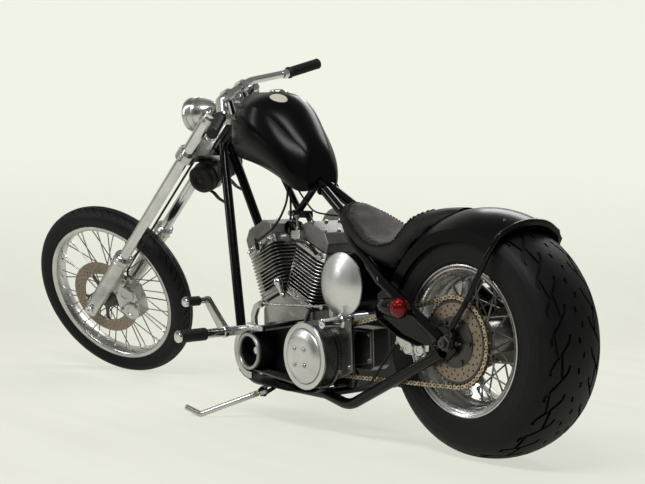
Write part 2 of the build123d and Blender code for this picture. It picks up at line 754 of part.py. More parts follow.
# Chain drive and primary


def loop_outline(centre_a, ra, centre_b, rb):
    """The closed line round two wheels, as edges in x and z: a is the rear, b the front."""
    dx, dz = centre_b[0] - centre_a[0], centre_b[1] - centre_a[1]
    span = hypot(dx, dz)
    base = atan2(dz, dx)
    open_angle = acos((ra - rb) / span)
    top, bottom = base + open_angle, base - open_angle

    def at(centre, r, angle):
        return (centre[0] + r * cos(angle), centre[1] + r * sin(angle))

    a_top, a_bottom = at(centre_a, ra, top), at(centre_a, ra, bottom)
    b_top, b_bottom = at(centre_b, rb, top), at(centre_b, rb, bottom)
    edges = [
        Line(a_top, b_top),
        ThreePointArc(b_top, at(centre_b, rb, base), b_bottom),
        Line(b_bottom, a_bottom),
        ThreePointArc(a_bottom, at(centre_a, ra, base + pi), a_top),
    ]
    length = 2 * sqrt(span ** 2 - (ra - rb) ** 2) + rb * 2 * open_angle + ra * (2 * pi - 2 * open_angle)
    return edges, length


def loop_band(centre_a, ra, centre_b, rb, inset, outset, y0, y1):
    """A flat band round two wheels."""
    outer, _ = loop_outline(centre_a, ra + outset, centre_b, rb + outset)
    inner, _ = loop_outline(centre_a, ra - inset, centre_b, rb - inset)
    plane = Plane.XZ.offset(-y0)
    face = plane * (make_face(Curve() + outer) - make_face(Curve() + inner))
    return extrude(face, amount=y1 - y0, dir=(0, 1, 0))


def fitted_clutch_x():
    """The gearbox shaft's place that takes a whole number of links."""
    low, high = 500.0, 640.0
    for _ in range(40):
        middle = (low + high) / 2
        _, length = loop_outline((0, REAR_TYRE_R), REAR_PITCH_R, (middle, CLUTCH_Z), FRONT_PITCH_R)
        if length < CHAIN_LINKS * CHAIN_PITCH:
            low = middle
        else:
            high = middle
    return low


CLUTCH_X = fitted_clutch_x()
CLUTCH_R = 90
RING_GEAR_R = 99
PLATE_R = 98
FRONT_PULLEY_R = 55
STARTER = (462, 348)
PLATE_Y = (142, 152)     # the primary's back plate
GUARD_Y = (208, 214)
GUARD_R = (65, 84)


def gearbox():
    x, z = CLUTCH_X, CLUTCH_Z
    case = plate([(x - 88, z - 96), (x + 78, z - 96), (x + 98, z - 60), (x + 98, z + 20), (x + 44, z + 96),
                  (x - 60, z + 96), (x - 88, z + 60)], -104, 104)
    cover = across(x - 8, z, 62, -118, -104)
    feet = plate([(x - 80, RAIL_Z + 12), (x + 60, RAIL_Z + 12), (x + 60, z - 96), (x - 80, z - 96)], -70, 70)
    cross = [across(at, RAIL_Z, 12, -CROSS_HALF, CROSS_HALF) for at in RAIL_CROSS_X]
    sprocket = toothed_disc(FRONT_TEETH, Vector(x, 0, z), CHAIN_Y - 3.6, CHAIN_Y + 3.6, 22)
    shaft = across(x, z, 22, 104, 150)
    return {"gearbox": fused([fused([case, cover, feet]) - cross, sprocket, shaft])}


def primary():
    x, z = CLUTCH_X, CLUTCH_Z
    y_in, y_out = PLATE_Y
    panel = fused([
        across(CRANK_X, CRANK_Z, 76, y_in, y_out),
        across(x, z, PLATE_R, y_in, y_out),
        plate([(CRANK_X + 6, CRANK_Z + 76), (x, z + PLATE_R), (480, 366), (412, 366), (412, 205), (x, z - PLATE_R),
               (CRANK_X + 6, CRANK_Z - 76)], y_in, y_out),
    ])
    panel -= across(x, z, 22, y_in - 1, y_out + 1)
    spacer = across(CRANK_X, CRANK_Z, 40, 118, y_in)
    bosses = [across(x + dx, z + dz, 11, 104, y_in) for dx, dz in ((20, 84), (-60, -84), (86, -10))]
    nose = rod((STARTER[0], y_out, STARTER[1]), (STARTER[0], y_out + 72, STARTER[1]), 17, 12)
    motor_plate = fused([panel, spacer, nose, *bosses])
    pulley = across(CRANK_X, CRANK_Z, FRONT_PULLEY_R, y_out + 6, PRIMARY_FACE_Y + 6)
    pulley -= across(CRANK_X, CRANK_Z, 40, PRIMARY_FACE_Y - 38, PRIMARY_FACE_Y + 7)
    pulley = fused([pulley, across(CRANK_X, CRANK_Z, 22, y_out, y_out + 6),
                    across(CRANK_X, CRANK_Z, 15, PRIMARY_FACE_Y - 38, PRIMARY_FACE_Y - 20)])
    basket = fused([
        across(x, z, CLUTCH_R, y_out + 10, PRIMARY_FACE_Y - 8),
        across(x, z, RING_GEAR_R, y_out + 3, y_out + 10),
        across(x, z, 30, y_out, y_out + 3),
    ]) - across(x, z, 22, y_in, y_out)
    belt = loop_band((x, z), CLUTCH_R, (CRANK_X, CRANK_Z), FRONT_PULLEY_R, 0, 6, y_out + 11, PRIMARY_FACE_Y - 9)
    start = PRIMARY_FACE_Y - 8
    dome = make_face(Curve() + [
        Line((start, 0), (start, 99)),
        Line((start, 99), (start + 8, 99)),
        Line((start + 8, 99), (start + 8, 80)),
        ThreePointArc((start + 8, 80), (start + 20, 70), (start + 24, 56)),
        Line((start + 24, 56), (start + 24, 0)),
        Line((start + 24, 0), (start, 0)),
    ])
    cover = Pos(x, 0, z) * Rot(0, 0, 90) * revolve(dome, axis=Axis.X)
    return {
        "motor_plate": motor_plate,
        "primary_pulleys": Compound(children=[pulley, basket]),
        "primary_belt": belt,
        "clutch_cover": cover,
    }


def belt_guard():
    """A C-shaped plate round the front pulley, open to the rear, held on two standoffs."""
    inner, outer = GUARD_R
    ring = across(CRANK_X, CRANK_Z, outer, *GUARD_Y) - across(CRANK_X, CRANK_Z, inner, GUARD_Y[0] - 1, GUARD_Y[1] + 1)
    ring -= plate([(CRANK_X - 8, 100), (CRANK_X - 8, 360), (CRANK_X - 100, 360), (CRANK_X - 100, 100)],
                  GUARD_Y[0] - 1, GUARD_Y[1] + 1)
    arm = plate([(CRANK_X, CRANK_Z + inner + 1), (CRANK_X - 70, CRANK_Z + inner + 3), (CRANK_X - 70, CRANK_Z + outer),
                 (CRANK_X, CRANK_Z + outer)], *GUARD_Y)
    posts = []
    for angle in (55, -55):
        x = CRANK_X + (inner + 5) * cos(radians(angle))
        z = CRANK_Z + (inner + 5) * sin(radians(angle))
        posts.append(across(x, z, 5, PLATE_Y[1], GUARD_Y[0]))
    carrier = across(CONTROL_X, CONTROL_Z, 15, PLATE_Y[0], PEG_Y[0])
    return {"belt_guard": fused([ring, arm, *posts]) - carrier}


def chain():
    band = loop_band((0, REAR_TYRE_R), REAR_PITCH_R, (CLUTCH_X, CLUTCH_Z), FRONT_PITCH_R,
                     ROLLER_R, LINK_HEIGHT / 2, CHAIN_Y - 8, CHAIN_Y + 8)
    return {"drive_chain": band}


# Controls, lamps, exhaust and the engine's right side

CONTROL_X = 914
CONTROL_Z = 290
PEG_Y = (256, 430)
TOE = (1010, 384)
TOE_Y = (262, 342)
SHIFT_ARM_TOP = (868, 374)
SHIFT_ROD_END = (556, 384)


def foot_controls():
    """Pegs and pedals on an arm each side; the left one shifts, the right one brakes."""
    pieces = []
    for side in LEFT_AND_RIGHT:
        start = 136 if side > 0 else 114
        carrier = across(CONTROL_X, CONTROL_Z, 15, side * start, side * PEG_Y[0])
        peg = across(CONTROL_X, CONTROL_Z, 14, side * PEG_Y[0], side * PEG_Y[1])
        toe = across(*TOE, 10, side * TOE_Y[0], side * TOE_Y[1])
        lever_y = sorted((side * (PEG_Y[0] - 12), side * (PEG_Y[0] + 6)))
        lever = plate([(CONTROL_X - 14, CONTROL_Z + 8), (TOE[0] - 10, TOE[1] + 4), (TOE[0] + 4, TOE[1] + 12),
                       (TOE[0] + 12, TOE[1] - 2), (CONTROL_X + 12, CONTROL_Z - 10)], *lever_y)
        toe = across(*TOE, 10, min(lever_y[0], side * TOE_Y[1]), max(lever_y[1], side * TOE_Y[1]))
        pieces.append(fused([carrier, peg, lever, toe]))
    left, right = pieces
    x, z = CONTROL_X, CONTROL_Z
    left_bracket = plate([(x - 28, z + 24), (x + 20, z + 20), (x + 20, z - 20), (x - 36, z - 46)],
                         PLATE_Y[1], PLATE_Y[1] + 5)
    left_bracket -= across(CRANK_X + (GUARD_R[0] + 5) * cos(radians(55)), CRANK_Z + (GUARD_R[0] + 5) * sin(radians(55)),
                           5, PLATE_Y[1] - 1, GUARD_Y[0])
    right_bracket = plate([(x - 14, z - 14), (x - 14, z + 16), (x + 100, z - 20), (x + 106, z - 60)], -124, -114)
    right_bracket -= mirror(tube(CRADLE, TUBE_R, 110), about=Plane.XZ)
    left = fused([left, left_bracket, *shift_linkage()])
    return {"foot_controls": Compound(children=[left, fused([right, right_bracket])])}


def shift_linkage():
    arm_y = (136, 148)
    foot = (CONTROL_X - 4, CONTROL_Z + 4)
    arm = plate([(foot[0] - 10, foot[1]), (foot[0] - 8, foot[1] + 34), (foot[0] - 22, foot[1] + 62),
                 (SHIFT_ARM_TOP[0] - 8, SHIFT_ARM_TOP[1] - 8), (SHIFT_ARM_TOP[0] - 8, SHIFT_ARM_TOP[1] + 8),
                 (SHIFT_ARM_TOP[0] + 6, SHIFT_ARM_TOP[1] + 9), (foot[0] - 4, foot[1] + 74), (foot[0] + 12, foot[1] + 44),
                 (foot[0] + 14, foot[1])], *arm_y)
    link = rod((SHIFT_ARM_TOP[0], 142, SHIFT_ARM_TOP[1]), (SHIFT_ROD_END[0], 142, SHIFT_ROD_END[1]), 4)
    rear = plate([(SHIFT_ROD_END[0] - 10, SHIFT_ROD_END[1] + 8), (SHIFT_ROD_END[0] + 10, SHIFT_ROD_END[1] + 8),
                  (SHIFT_ROD_END[0] + 8, 330), (SHIFT_ROD_END[0] - 8, 330)], 104, 112)
    rear = fused([rear, across(*SHIFT_ROD_END, 7, 104, 149)])
    return [arm, link, rear]


LAMP = (202, 194, 414)
LAMP_R = 29


def tail_lamps():
    x, y, z = LAMP
    shell = [(x + 34, 0), (x + 30, 12), (x + 8, 25), (x - 30, LAMP_R), (x - 52, LAMP_R), (x - 70, 22), (x - 78, 10),
             (x - 80, 0)]
    face = make_face(Polyline(*shell, close=True))
    lamp = Pos(0, y, z) * revolve(face, axis=Axis.X)
    stub = across(x - 6, z, 8, PLATE_OUTER_Y, y)
    return {"tail_lamps": both_sides(fused([lamp, stub]) - tube(SEAT_RAIL, TUBE_R, 55))}


STRUT = [(0, 153, 360), (-62, 152, 436), (-128, 129, 571)]
STRUT_R = 7
FENDER_BEAD = 6
FENDER_BEAD_ARC = 2.6


def fender_strut():
    """A rod from each axle plate to the bead along the fender's rear edge."""
    left = tube(STRUT, STRUT_R)
    left -= axle_plate()
    return [left, mirror(left, about=Plane.XZ)]


PORT_UP = 300
PORT_Y = -48
PORT_OUT = 82
PORT_FRONT = tuple(on_cylinder(CYLINDER_TILT, PORT_OUT, PORT_Y, PORT_UP))
PORT_REAR = tuple(on_cylinder(-CYLINDER_TILT, -PORT_OUT, PORT_Y, PORT_UP))
EXHAUST = {
    # route of each pipe, from its head to its open end
    "front": [PORT_FRONT, (1050, -84, 470), (1052, -160, 410), (990, -194, 270), (860, -198, 206), (260, -198, 200)],
    "rear": [PORT_REAR, (630, -84, 470), (624, -160, 410), (600, -196, 310), (500, -198, 258), (230, -198, 254)],
}
PIPE_R = 22


def exhaust():
    bends = {"front": 30, "rear": 30}
    pipes = [tube(points, PIPE_R, bends[name]) for name, points in EXHAUST.items()]
    heads = [slab(lean, BARREL[0], HEAD[1], FIN_HALF, FIN_HALF + 2, 26) for lean in (CYLINDER_TILT, -CYLINDER_TILT)]
    ports = [exhaust_port(lean) for lean in (CYLINDER_TILT, -CYLINDER_TILT)]
    return {"exhaust_pipes": Compound(children=[pipe - heads - ports for pipe in pipes])}


def intake():
    """Manifold in the V, carburettor and round air cleaner on the right."""
    x, z = CRANK_X, 590
    manifold = across(x, z, 24, -120, 10)
    bell = across(x, z, 34, -140, -96)
    cleaner = across(x, z - 6, 82, -196, -140)
    heads = [cylinder(lean) for lean in (CYLINDER_TILT, -CYLINDER_TILT)]
    boxes = [rocker_box(lean) for lean in (CYLINDER_TILT, -CYLINDER_TILT)]
    return {"air_cleaner": fused([manifold - heads - boxes, bell - heads - boxes, cleaner])}


def cam_side():
    """Cam cover and four pushrod tubes on the engine's right."""
    tubes = []
    for lean, spread in ((CYLINDER_TILT, (16, 44)), (-CYLINDER_TILT, (-16, -44))):
        for along in spread:
            foot = on_cylinder(lean, along, PUSHROD_Y, 60)
            head = on_cylinder(lean, along * 0.9, PUSHROD_Y, ROCKER[0])
            tubes.append(rod(foot, head, PUSHROD_R))
    heads = [cylinder(lean) for lean in (CYLINDER_TILT, -CYLINDER_TILT)]
    boxes = [rocker_box(lean) for lean in (CYLINDER_TILT, -CYLINDER_TILT)]
    cases = across(CRANK_X + 6, CRANK_Z + 10, 78, -106, -CASE_HALF)
    return {"rocker_boxes": fused(boxes + [t - heads - cases for t in tubes])}


HOSE_R = 4
REAR_HOSE = [(208, 148, 322), (238, 149, 288), (330, 150, 184), (405, 147, 156), (440, 120, 158), (454, 92, 186),
             (480, 90, 204)]


def rear_hose():
    """The brake line from the rear caliper, outside the chain and along the lower rail to the gearbox."""
    neighbours = [rear_caliper()["rear_caliper"], gearbox()["gearbox"]]
    return {"rear_brake_hose": tube(REAR_HOSE, HOSE_R, 20) - neighbours}


def front_hose():
    """The brake line inside the left leg, from under the lower tree to the caliper."""
    top = on_fork(34, 80, LOWER_TREE[0])
    knee = on_fork(34, 80, 330)
    x, z = WHEELBASE + FRONT_CALIPER[0], FRONT_TYRE_R + FRONT_CALIPER[1]
    route = [tuple(top), tuple(knee), (x - 46, 72, z + 120), (x - 36, 72, z + 60)]
    return {"front_brake_hose": tube(route, HOSE_R, 40) - front_caliper()["front_caliper"]}


def rear_caliper():
    outline = [(80, 300), (76, 346), (96, 366), (186, 372), (214, 350), (212, 318), (176, 282), (100, 280)]
    block = plate(outline, 113, 155)
    room = across(0, REAR_TYRE_R, REAR_PITCH_R + 2, ROTOR_Y[0] - 6, ROTOR_Y[1] + 6)
    wheel_room = across(0, REAR_TYRE_R, 300, 100, ROTOR_Y[0] - 6) - across(0, REAR_TYRE_R, 196, 99, ROTOR_Y[0])
    neighbours = frame_pieces()
    block = block - room - wheel_room - neighbours["frame_rear_rails"] - neighbours["frame_cradle"]
    return {"rear_caliper": block}


# Stand

STAND_PIVOT = Vector(824, 176, 104)
STAND_AXIS = Vector(0.08, 0.334, 0.884).normalized()
STAND_INWARD = Vector(0, -STAND_AXIS.Z, STAND_AXIS.Y).normalized()
STAND_FOOT = (925, 345)      # where the leg meets the floor
STAND_TOE = Vector(58, 14, 17)
STAND_R = 9
STAND_PIN_R = 6
STAND_EYE = 12               # thickness of the leg's eye


def floor_height(x, y):
    """The floor's height under a point of the upright bike."""
    base = (ON_FLOOR * Pos(x, y, 0)).position.Z
    rise = (ON_FLOOR * Pos(x, y, 1)).position.Z - base
    return -base / rise


def stand_pin(gap=0.0):
    reach = STAND_AXIS * 16
    return rod(STAND_PIVOT - reach, STAND_PIVOT + reach, STAND_PIN_R + gap)


def side_stand():
    heel = Vector(*STAND_FOOT, floor_height(*STAND_FOOT) + STAND_R)
    along = (heel - STAND_PIVOT).normalized()
    leg = tube([STAND_PIVOT + along * 30, heel, heel + STAND_TOE], STAND_R, 14)
    neck_bar = rod(STAND_PIVOT + along * 10, STAND_PIVOT + along * 31, 5)
    eye = Plane(origin=STAND_PIVOT, z_dir=STAND_AXIS) * Cylinder(15, STAND_EYE)
    return {"side_stand": fused([leg, neck_bar, eye]) - stand_pin(RUNNING_GAP)}


def stand_bracket():
    """Two ears and a pin on the lower left rail."""
    ears = []
    for side in LEFT_AND_RIGHT:
        plane = Plane(origin=STAND_PIVOT + STAND_AXIS * (side * 9), x_dir=STAND_INWARD, z_dir=STAND_AXIS)
        ears.append(plane * Box(38, 26, 4, align=(Align.MIN, Align.CENTER, Align.CENTER)))
        ears.append(plane * Cylinder(14, 4))
    return fused(ears + [stand_pin()])


BUILDERS = {
    "rear_wheel": (rear_wheel,),
    "front_wheel": (front_wheel,),
    "fork": (forks, handlebar, headlamp, tool_roll, front_caliper, front_hose),
    "frame": (frame_pieces, rear_axle, fuel_tank, seat, fender, tail_lamps, oil_tank, engine, cam_side,
              intake, exhaust, gearbox, primary, belt_guard, chain, rear_caliper, rear_hose, foot_controls),
    "stand": (side_stand,),
}


def main():
    os.makedirs("parts", exist_ok=True)
    for body, builders in BUILDERS.items():
        for builder in builders:
            for name, shape in builder().items():
                placed = PLACE[body] * shape
                export_step(placed, f"parts/{name}.step")
                print(f"{body} {name} volume {shape.volume / 1000:.1f} cm3 solids {len(shape.solids())}")
    print("pitch", round(PITCH_REST, 4), "floor drop", round(FLOOR_DROP, 3), "clutch x", round(CLUTCH_X, 2))


main()
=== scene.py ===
import math

import bmesh
import bpy
from mathutils import Matrix, Vector
from mathutils.bvhtree import BVHTree


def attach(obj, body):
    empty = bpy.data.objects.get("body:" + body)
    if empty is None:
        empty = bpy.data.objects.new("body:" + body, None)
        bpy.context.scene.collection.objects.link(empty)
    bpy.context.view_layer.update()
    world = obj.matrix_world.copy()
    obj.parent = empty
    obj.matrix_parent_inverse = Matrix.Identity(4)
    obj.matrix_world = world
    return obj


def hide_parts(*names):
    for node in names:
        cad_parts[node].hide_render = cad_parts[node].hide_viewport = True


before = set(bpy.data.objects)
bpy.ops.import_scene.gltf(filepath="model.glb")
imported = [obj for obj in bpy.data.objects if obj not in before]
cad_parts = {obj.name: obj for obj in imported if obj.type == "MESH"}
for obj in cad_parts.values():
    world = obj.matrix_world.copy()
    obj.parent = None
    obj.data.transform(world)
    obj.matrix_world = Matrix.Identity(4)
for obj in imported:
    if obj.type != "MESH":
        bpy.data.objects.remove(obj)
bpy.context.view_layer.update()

# The motorcycle is drawn upright and straight, x forward from the rear axle and y to the rider's left.
# It stands steered to its left stop, leaned on its side stand, and tipped until both tyres touch the floor.
LEAN = math.radians(3.5)
NOSE_DOWN = math.radians(0.6083)
STEER = math.radians(29)
RAKE = math.radians(50)
STAND_PLACE = Vector((-1.003, -0.017, 0.000343))
WHEELBASE = 2.0
REAR_RADIUS = 0.328
FRONT_RADIUS = 0.347
TREE_OFFSET = 0.055
AHEAD = Vector((math.cos(RAKE), 0, math.sin(RAKE)))
UP_LEG = Vector((-math.sin(RAKE), 0, math.cos(RAKE)))
REAR_AXLE = Vector((0, 0, REAR_RADIUS))
FRONT_AXLE = Vector((WHEELBASE, 0, FRONT_RADIUS))
STEER_FOOT = FRONT_AXLE - AHEAD * TREE_OFFSET
BIKE = (Matrix.Translation(STAND_PLACE) @ Matrix.Rotation(-LEAN, 4, "X")
        @ Matrix.Rotation(NOSE_DOWN, 4, "Y"))
FORK = (BIKE @ Matrix.Translation(STEER_FOOT) @ Matrix.Rotation(STEER, 4, UP_LEG)
        @ Matrix.Translation(-STEER_FOOT))


def on_fork(ahead, y, up):
    """A point of the fork: ahead of the steering axis, to the left, and up along it."""
    return STEER_FOOT + AHEAD * ahead + Vector((0, y, 0)) + UP_LEG * up


# The floor and the backdrop are one sheet of pale studio cloth with faint dark streaks, painted shade of creases; to
# the camera it also glows, more strongly higher up, a painted light that makes the wall brighter than the floor. The
# lamps are large soft
# boxes: one over the near side, one long strip high on the far side, and a weak one low at the front.
CAMERA_PLACE = (-3.67768, 2.70852, 0.67411)
CAMERA_YAW = -0.66748
CAMERA_DOWN = 0.02702
CAMERA_ROLL = 0.03535
CAMERA_LENS = 1387.732 * 36 / 645
CLOTH_COLOR = (0.80, 0.79, 0.72, 1)


def node_maker(tree):
    """Returns a short way to add a node and to join its inputs."""
    def add(kind, joins=None, **settings):
        node = tree.nodes.new(kind)
        for key, value in settings.items():
            setattr(node, key, value)
        for socket, source in (joins or {}).items():
            if hasattr(source, "is_linked"):
                tree.links.new(source, node.inputs[socket])
            else:
                node.inputs[socket].default_value = source
        return node
    return add


def studio_cloth():
    material = bpy.data.materials.new("studio_cloth")
    material.use_nodes = True
    tree = material.node_tree
    tree.nodes.clear()
    add = node_maker(tree)
    place = add("ShaderNodeTexCoord").outputs["Object"]
    stretch = add("ShaderNodeMapping", {"Vector": place, "Scale": (0.35, 2.2, 1)})
    # Dark streaks: painted shade of creases in the flat cloth.
    streaks = add("ShaderNodeTexNoise", {"Vector": stretch.outputs[0], "Scale": 3.0, "Detail": 5.0, "Roughness": 0.6})
    tone = add("ShaderNodeValToRGB", {"Fac": streaks.outputs["Fac"]})
    tone.color_ramp.elements[0].position = 0.35
    tone.color_ramp.elements[0].color = (0.70, 0.69, 0.61, 1)
    tone.color_ramp.elements[1].position = 0.65
    tone.color_ramp.elements[1].color = CLOTH_COLOR
    lit = add("ShaderNodeBsdfDiffuse", {"Color": tone.outputs[0]})
    glow = add("ShaderNodeEmission", {"Color": (0.895, 0.905, 0.805, 1), "Strength": 1.0})
    rays = add("ShaderNodeLightPath")
    # Painted light: to the camera the cloth glows more strongly higher up, so the wall is brighter than the floor.
    height = add("ShaderNodeSeparateXYZ", {0: place})
    painted_wall_glow = add("ShaderNodeMapRange", {"Value": height.outputs[2], "From Min": 0.05, "From Max": 0.9, "To Min": 0.68,
                                       "To Max": 0.98})
    direct = add("ShaderNodeMath", {0: rays.outputs["Is Camera Ray"], 1: painted_wall_glow.outputs[0]}, operation="MULTIPLY")
    through = add("ShaderNodeMath", {0: rays.outputs["Is Transmission Ray"], 1: 0.45, 2: direct.outputs[0]},
                  operation="MULTIPLY_ADD")
    share = add("ShaderNodeMath", {0: rays.outputs["Is Glossy Ray"], 1: 0.30, 2: through.outputs[0]},
                operation="MULTIPLY_ADD")
    mixed = add("ShaderNodeMixShader", {0: share.outputs[0], 1: lit.outputs[0], 2: glow.outputs[0]})
    behind = add("ShaderNodeNewGeometry").outputs["Backfacing"]
    clear = add("ShaderNodeBsdfTransparent")
    one_sided = add("ShaderNodeMixShader", {0: behind, 1: mixed.outputs[0], 2: clear.outputs[0]})
    add("ShaderNodeOutputMaterial", {"Surface": one_sided.outputs[0]})
    return material


def backdrop():
    """A floor that curves up into a wall, as one sheet."""
    points = [(-6.0, 0.0), (2.6, 0.0)]
    for step in range(1, 13):
        turn = math.radians(90 * step / 12)
        points.append((2.6 + 1.4 * math.sin(turn), 1.4 - 1.4 * math.cos(turn)))
    points.append((4.0, 6.0))
    forward = Vector((math.cos(CAMERA_YAW), math.sin(CAMERA_YAW), 0))
    sideways = Vector((-forward.y, forward.x, 0))
    vertices = []
    for along, up in points:
        for side in (-8, 8):
            vertices.append(forward * along + sideways * side + Vector((0, 0, up - 0.0005)))
    faces = [(2 * i, 2 * i + 2, 2 * i + 3, 2 * i + 1) for i in range(len(points) - 1)]
    mesh = bpy.data.meshes.new("backdrop")
    mesh.from_pydata(vertices, [], faces)
    for face in mesh.polygons:
        face.use_smooth = True
    sheet = bpy.data.objects.new("backdrop", mesh)
    bpy.context.scene.collection.objects.link(sheet)
    sheet.data.materials.append(studio_cloth())


def dark_card(name, place, width, height):
    """A black card that stands facing the machine and shows in bright metal only."""
    material = bpy.data.materials.new(name)
    material.use_nodes = True
    tree = material.node_tree
    tree.nodes.clear()
    add = node_maker(tree)
    black = add("ShaderNodeBsdfDiffuse", {"Color": (0.02, 0.02, 0.02, 1)})
    clear = add("ShaderNodeBsdfTransparent")
    shown = add("ShaderNodeMixShader", {0: add("ShaderNodeLightPath").outputs["Is Glossy Ray"], 1: clear.outputs[0],
                                        2: black.outputs[0]})
    add("ShaderNodeOutputMaterial", {"Surface": shown.outputs[0]})
    centre = Vector(place)
    across = Vector((-centre.y, centre.x, 0)).normalized() * width / 2
    up = Vector((0, 0, height / 2))
    mesh = bpy.data.meshes.new(name)
    mesh.from_pydata([centre - across - up, centre + across - up, centre + across + up, centre - across + up], [],
                     [(0, 1, 2, 3)])
    mesh.materials.append(material)
    card = bpy.data.objects.new(name, mesh)
    bpy.context.scene.collection.objects.link(card)


def soft_box(name, place, aim, width, height, watts, color=(1, 1, 1)):
    light = bpy.data.lights.new(name, "AREA")
    light.shape = "RECTANGLE"
    light.size = width
    light.size_y = height
    light.energy = watts
    light.color = color
    lamp = bpy.data.objects.new(name, light)
    bpy.context.scene.collection.objects.link(lamp)
    lamp.location = place
    lamp.rotation_euler = (Vector(aim) - Vector(place)).to_track_quat("-Z", "Y").to_euler()
    return lamp


def studio():
    backdrop()
    dark_card("left_card", (-4.2, 0.1, 1.3), 1.1, 2.6)
    dark_card("right_card", (-0.6, 4.3, 1.3), 1.1, 2.6)
    soft_box("key_light", (-1.5, 2.0, 3.4), (0.1, 0, 0.4), 2.4, 0.7, 80)
    soft_box("strip_light", (2.0, 2.6, 2.2), (0.2, 0, 0.6), 0.3, 2.6, 26)
    soft_box("back_light", (0.8, -2.8, 3.0), (0, 0, 0.5), 3.0, 1.2, 60)
    world = bpy.data.worlds.new("studio")
    bpy.context.scene.world = world
    world.use_nodes = True
    tree = world.node_tree
    add = node_maker(tree)
    around = tree.nodes["Background"]
    around.inputs["Color"].default_value = (0.93, 0.92, 0.86, 1)
    seen = add("ShaderNodeLightPath").outputs["Is Camera Ray"]
    strength = add("ShaderNodeMapRange", {"Value": seen, "To Min": 0.22, "To Max": 0.92})
    tree.links.new(strength.outputs[0], around.inputs["Strength"])
    camera = bpy.data.cameras.new("camera")
    camera.lens = CAMERA_LENS
    camera.sensor_width = 36
    eye = bpy.data.objects.new("camera", camera)
    bpy.context.scene.collection.objects.link(eye)
    look = Vector((math.cos(CAMERA_DOWN) * math.cos(CAMERA_YAW), math.cos(CAMERA_DOWN) * math.sin(CAMERA_YAW),
                   -math.sin(CAMERA_DOWN)))
    level = look.cross(Vector((0, 0, 1))).normalized()
    above = level.cross(look)
    right = level * math.cos(CAMERA_ROLL) + above * math.sin(CAMERA_ROLL)
    up = above * math.cos(CAMERA_ROLL) - level * math.sin(CAMERA_ROLL)
    turn = Matrix((right, up, -look)).transposed().to_4x4()
    eye.matrix_world = Matrix.Translation(CAMERA_PLACE) @ turn
    bpy.context.scene.camera = eye
    bpy.context.scene.view_settings.view_transform = "Standard"


studio()


# The rear tyre is a 230 mm wide radial on a 15 inch rim. Its black rubber is moulded with lightning-shaped
# grooves either side of the centre, two rows of short sipes, and thin ribs round the sidewall.
REAR_TYRE_PITCHES = 13          # each pitch holds two lightning grooves
REAR_TYRE_SECTION = [
    # y, radius of the left half, from the bead to the centre
    (0.100, 0.1915), (0.1055, 0.198), (0.107, 0.2075), (0.1105, 0.212), (0.1125, 0.219), (0.1118, 0.2215),
    (0.1138, 0.228), (0.1150, 0.240), (0.1155, 0.252), (0.1158, 0.2545), (0.1152, 0.257), (0.1146, 0.266),
    (0.1125, 0.278), (0.1100, 0.2868), (0.1085, 0.2885), (0.1055, 0.2945), (0.1000, 0.3012), (0.0920, 0.3072),
    (0.0820, 0.3124), (0.0710, 0.3167), (0.0590, 0.3203), (0.0460, 0.3234), (0.0320, 0.3258), (0.0170, 0.3274),
    (0.0, 0.328),
]
REAR_TYRE_GROOVES = [
    # across and along the tread, metres: two lightning shapes, the lines that join them, and sipes
    [(0.039, 0.000), (0.043, 0.018), (0.066, 0.049), (0.084, 0.072), (0.095, 0.092), (0.094, 0.108)],
    [(0.039, 0.079), (0.043, 0.097), (0.066, 0.128), (0.084, 0.151), (0.095, 0.171), (0.094, 0.187)],
    [(0.066, 0.049), (0.061, 0.114)],
    [(0.087, 0.155), (0.078, 0.222)],
    [(0.009, 0.010), (0.007, 0.026)],
    [(0.009, 0.089), (0.007, 0.105)],
]
TYRE_GROOVE_WIDTH = 0.0078
TYRE_GROOVE_DEPTH = 0.0065


def rubber(name, color=(0.0042, 0.0042, 0.0048, 1), roughness=0.52, gloss=0.22):
    """Moulded black rubber: a fine pebbled skin, and dust that greys it in soft patches."""
    material = bpy.data.materials.new(name)
    material.use_nodes = True
    tree = material.node_tree
    add = node_maker(tree)
    shader = tree.nodes["Principled BSDF"]
    place = add("ShaderNodeTexCoord").outputs["Object"]
    patches = add("ShaderNodeTexNoise", {"Vector": place, "Scale": 14.0, "Detail": 6.0, "Roughness": 0.65})
    tone = add("ShaderNodeValToRGB", {"Fac": patches.outputs["Fac"]})
    tone.color_ramp.elements[0].position = 0.38
    tone.color_ramp.elements[0].color = color
    tone.color_ramp.elements[1].position = 0.78
    tone.color_ramp.elements[1].color = (color[0] * 2.3, color[1] * 2.25, color[2] * 2.1, 1)
    tree.links.new(tone.outputs[0], shader.inputs["Base Color"])
    dull = add("ShaderNodeMapRange", {"Value": patches.outputs["Fac"], "To Min": roughness - 0.1,
                                      "To Max": roughness + 0.14})
    tree.links.new(dull.outputs[0], shader.inputs["Roughness"])
    pebble = add("ShaderNodeTexNoise", {"Vector": place, "Scale": 900.0, "Detail": 2.0})
    skin = add("ShaderNodeBump", {"Height": pebble.outputs["Fac"], "Strength": 0.25, "Distance": 0.0004})
    tree.links.new(skin.outputs[0], shader.inputs["Normal"])
    shader.inputs["Specular IOR Level"].default_value = gloss
    return material


def mesh_object(name, vertices, faces, place=None, crease=40, merge=1e-5):
    """A mesh with its place in its points: doubles merged, faces turned out, edges sharper than the crease kept."""
    mesh = bpy.data.meshes.new(name)
    mesh.from_pydata([tuple(v) for v in vertices], [], faces)
    built = bmesh.new()
    built.from_mesh(mesh)
    bmesh.ops.remove_doubles(built, verts=built.verts, dist=merge)
    bmesh.ops.recalc_face_normals(built, faces=built.faces)
    for face in built.faces:
        face.smooth = True
    limit = math.radians(crease)
    for edge in built.edges:
        edge.smooth = len(edge.link_faces) == 2 and edge.calc_face_angle(0) < limit
    built.to_mesh(mesh)
    built.free()
    if place is not None:
        mesh.transform(place)
    piece = bpy.data.objects.new(name, mesh)
    bpy.context.scene.collection.objects.link(piece)
    return piece


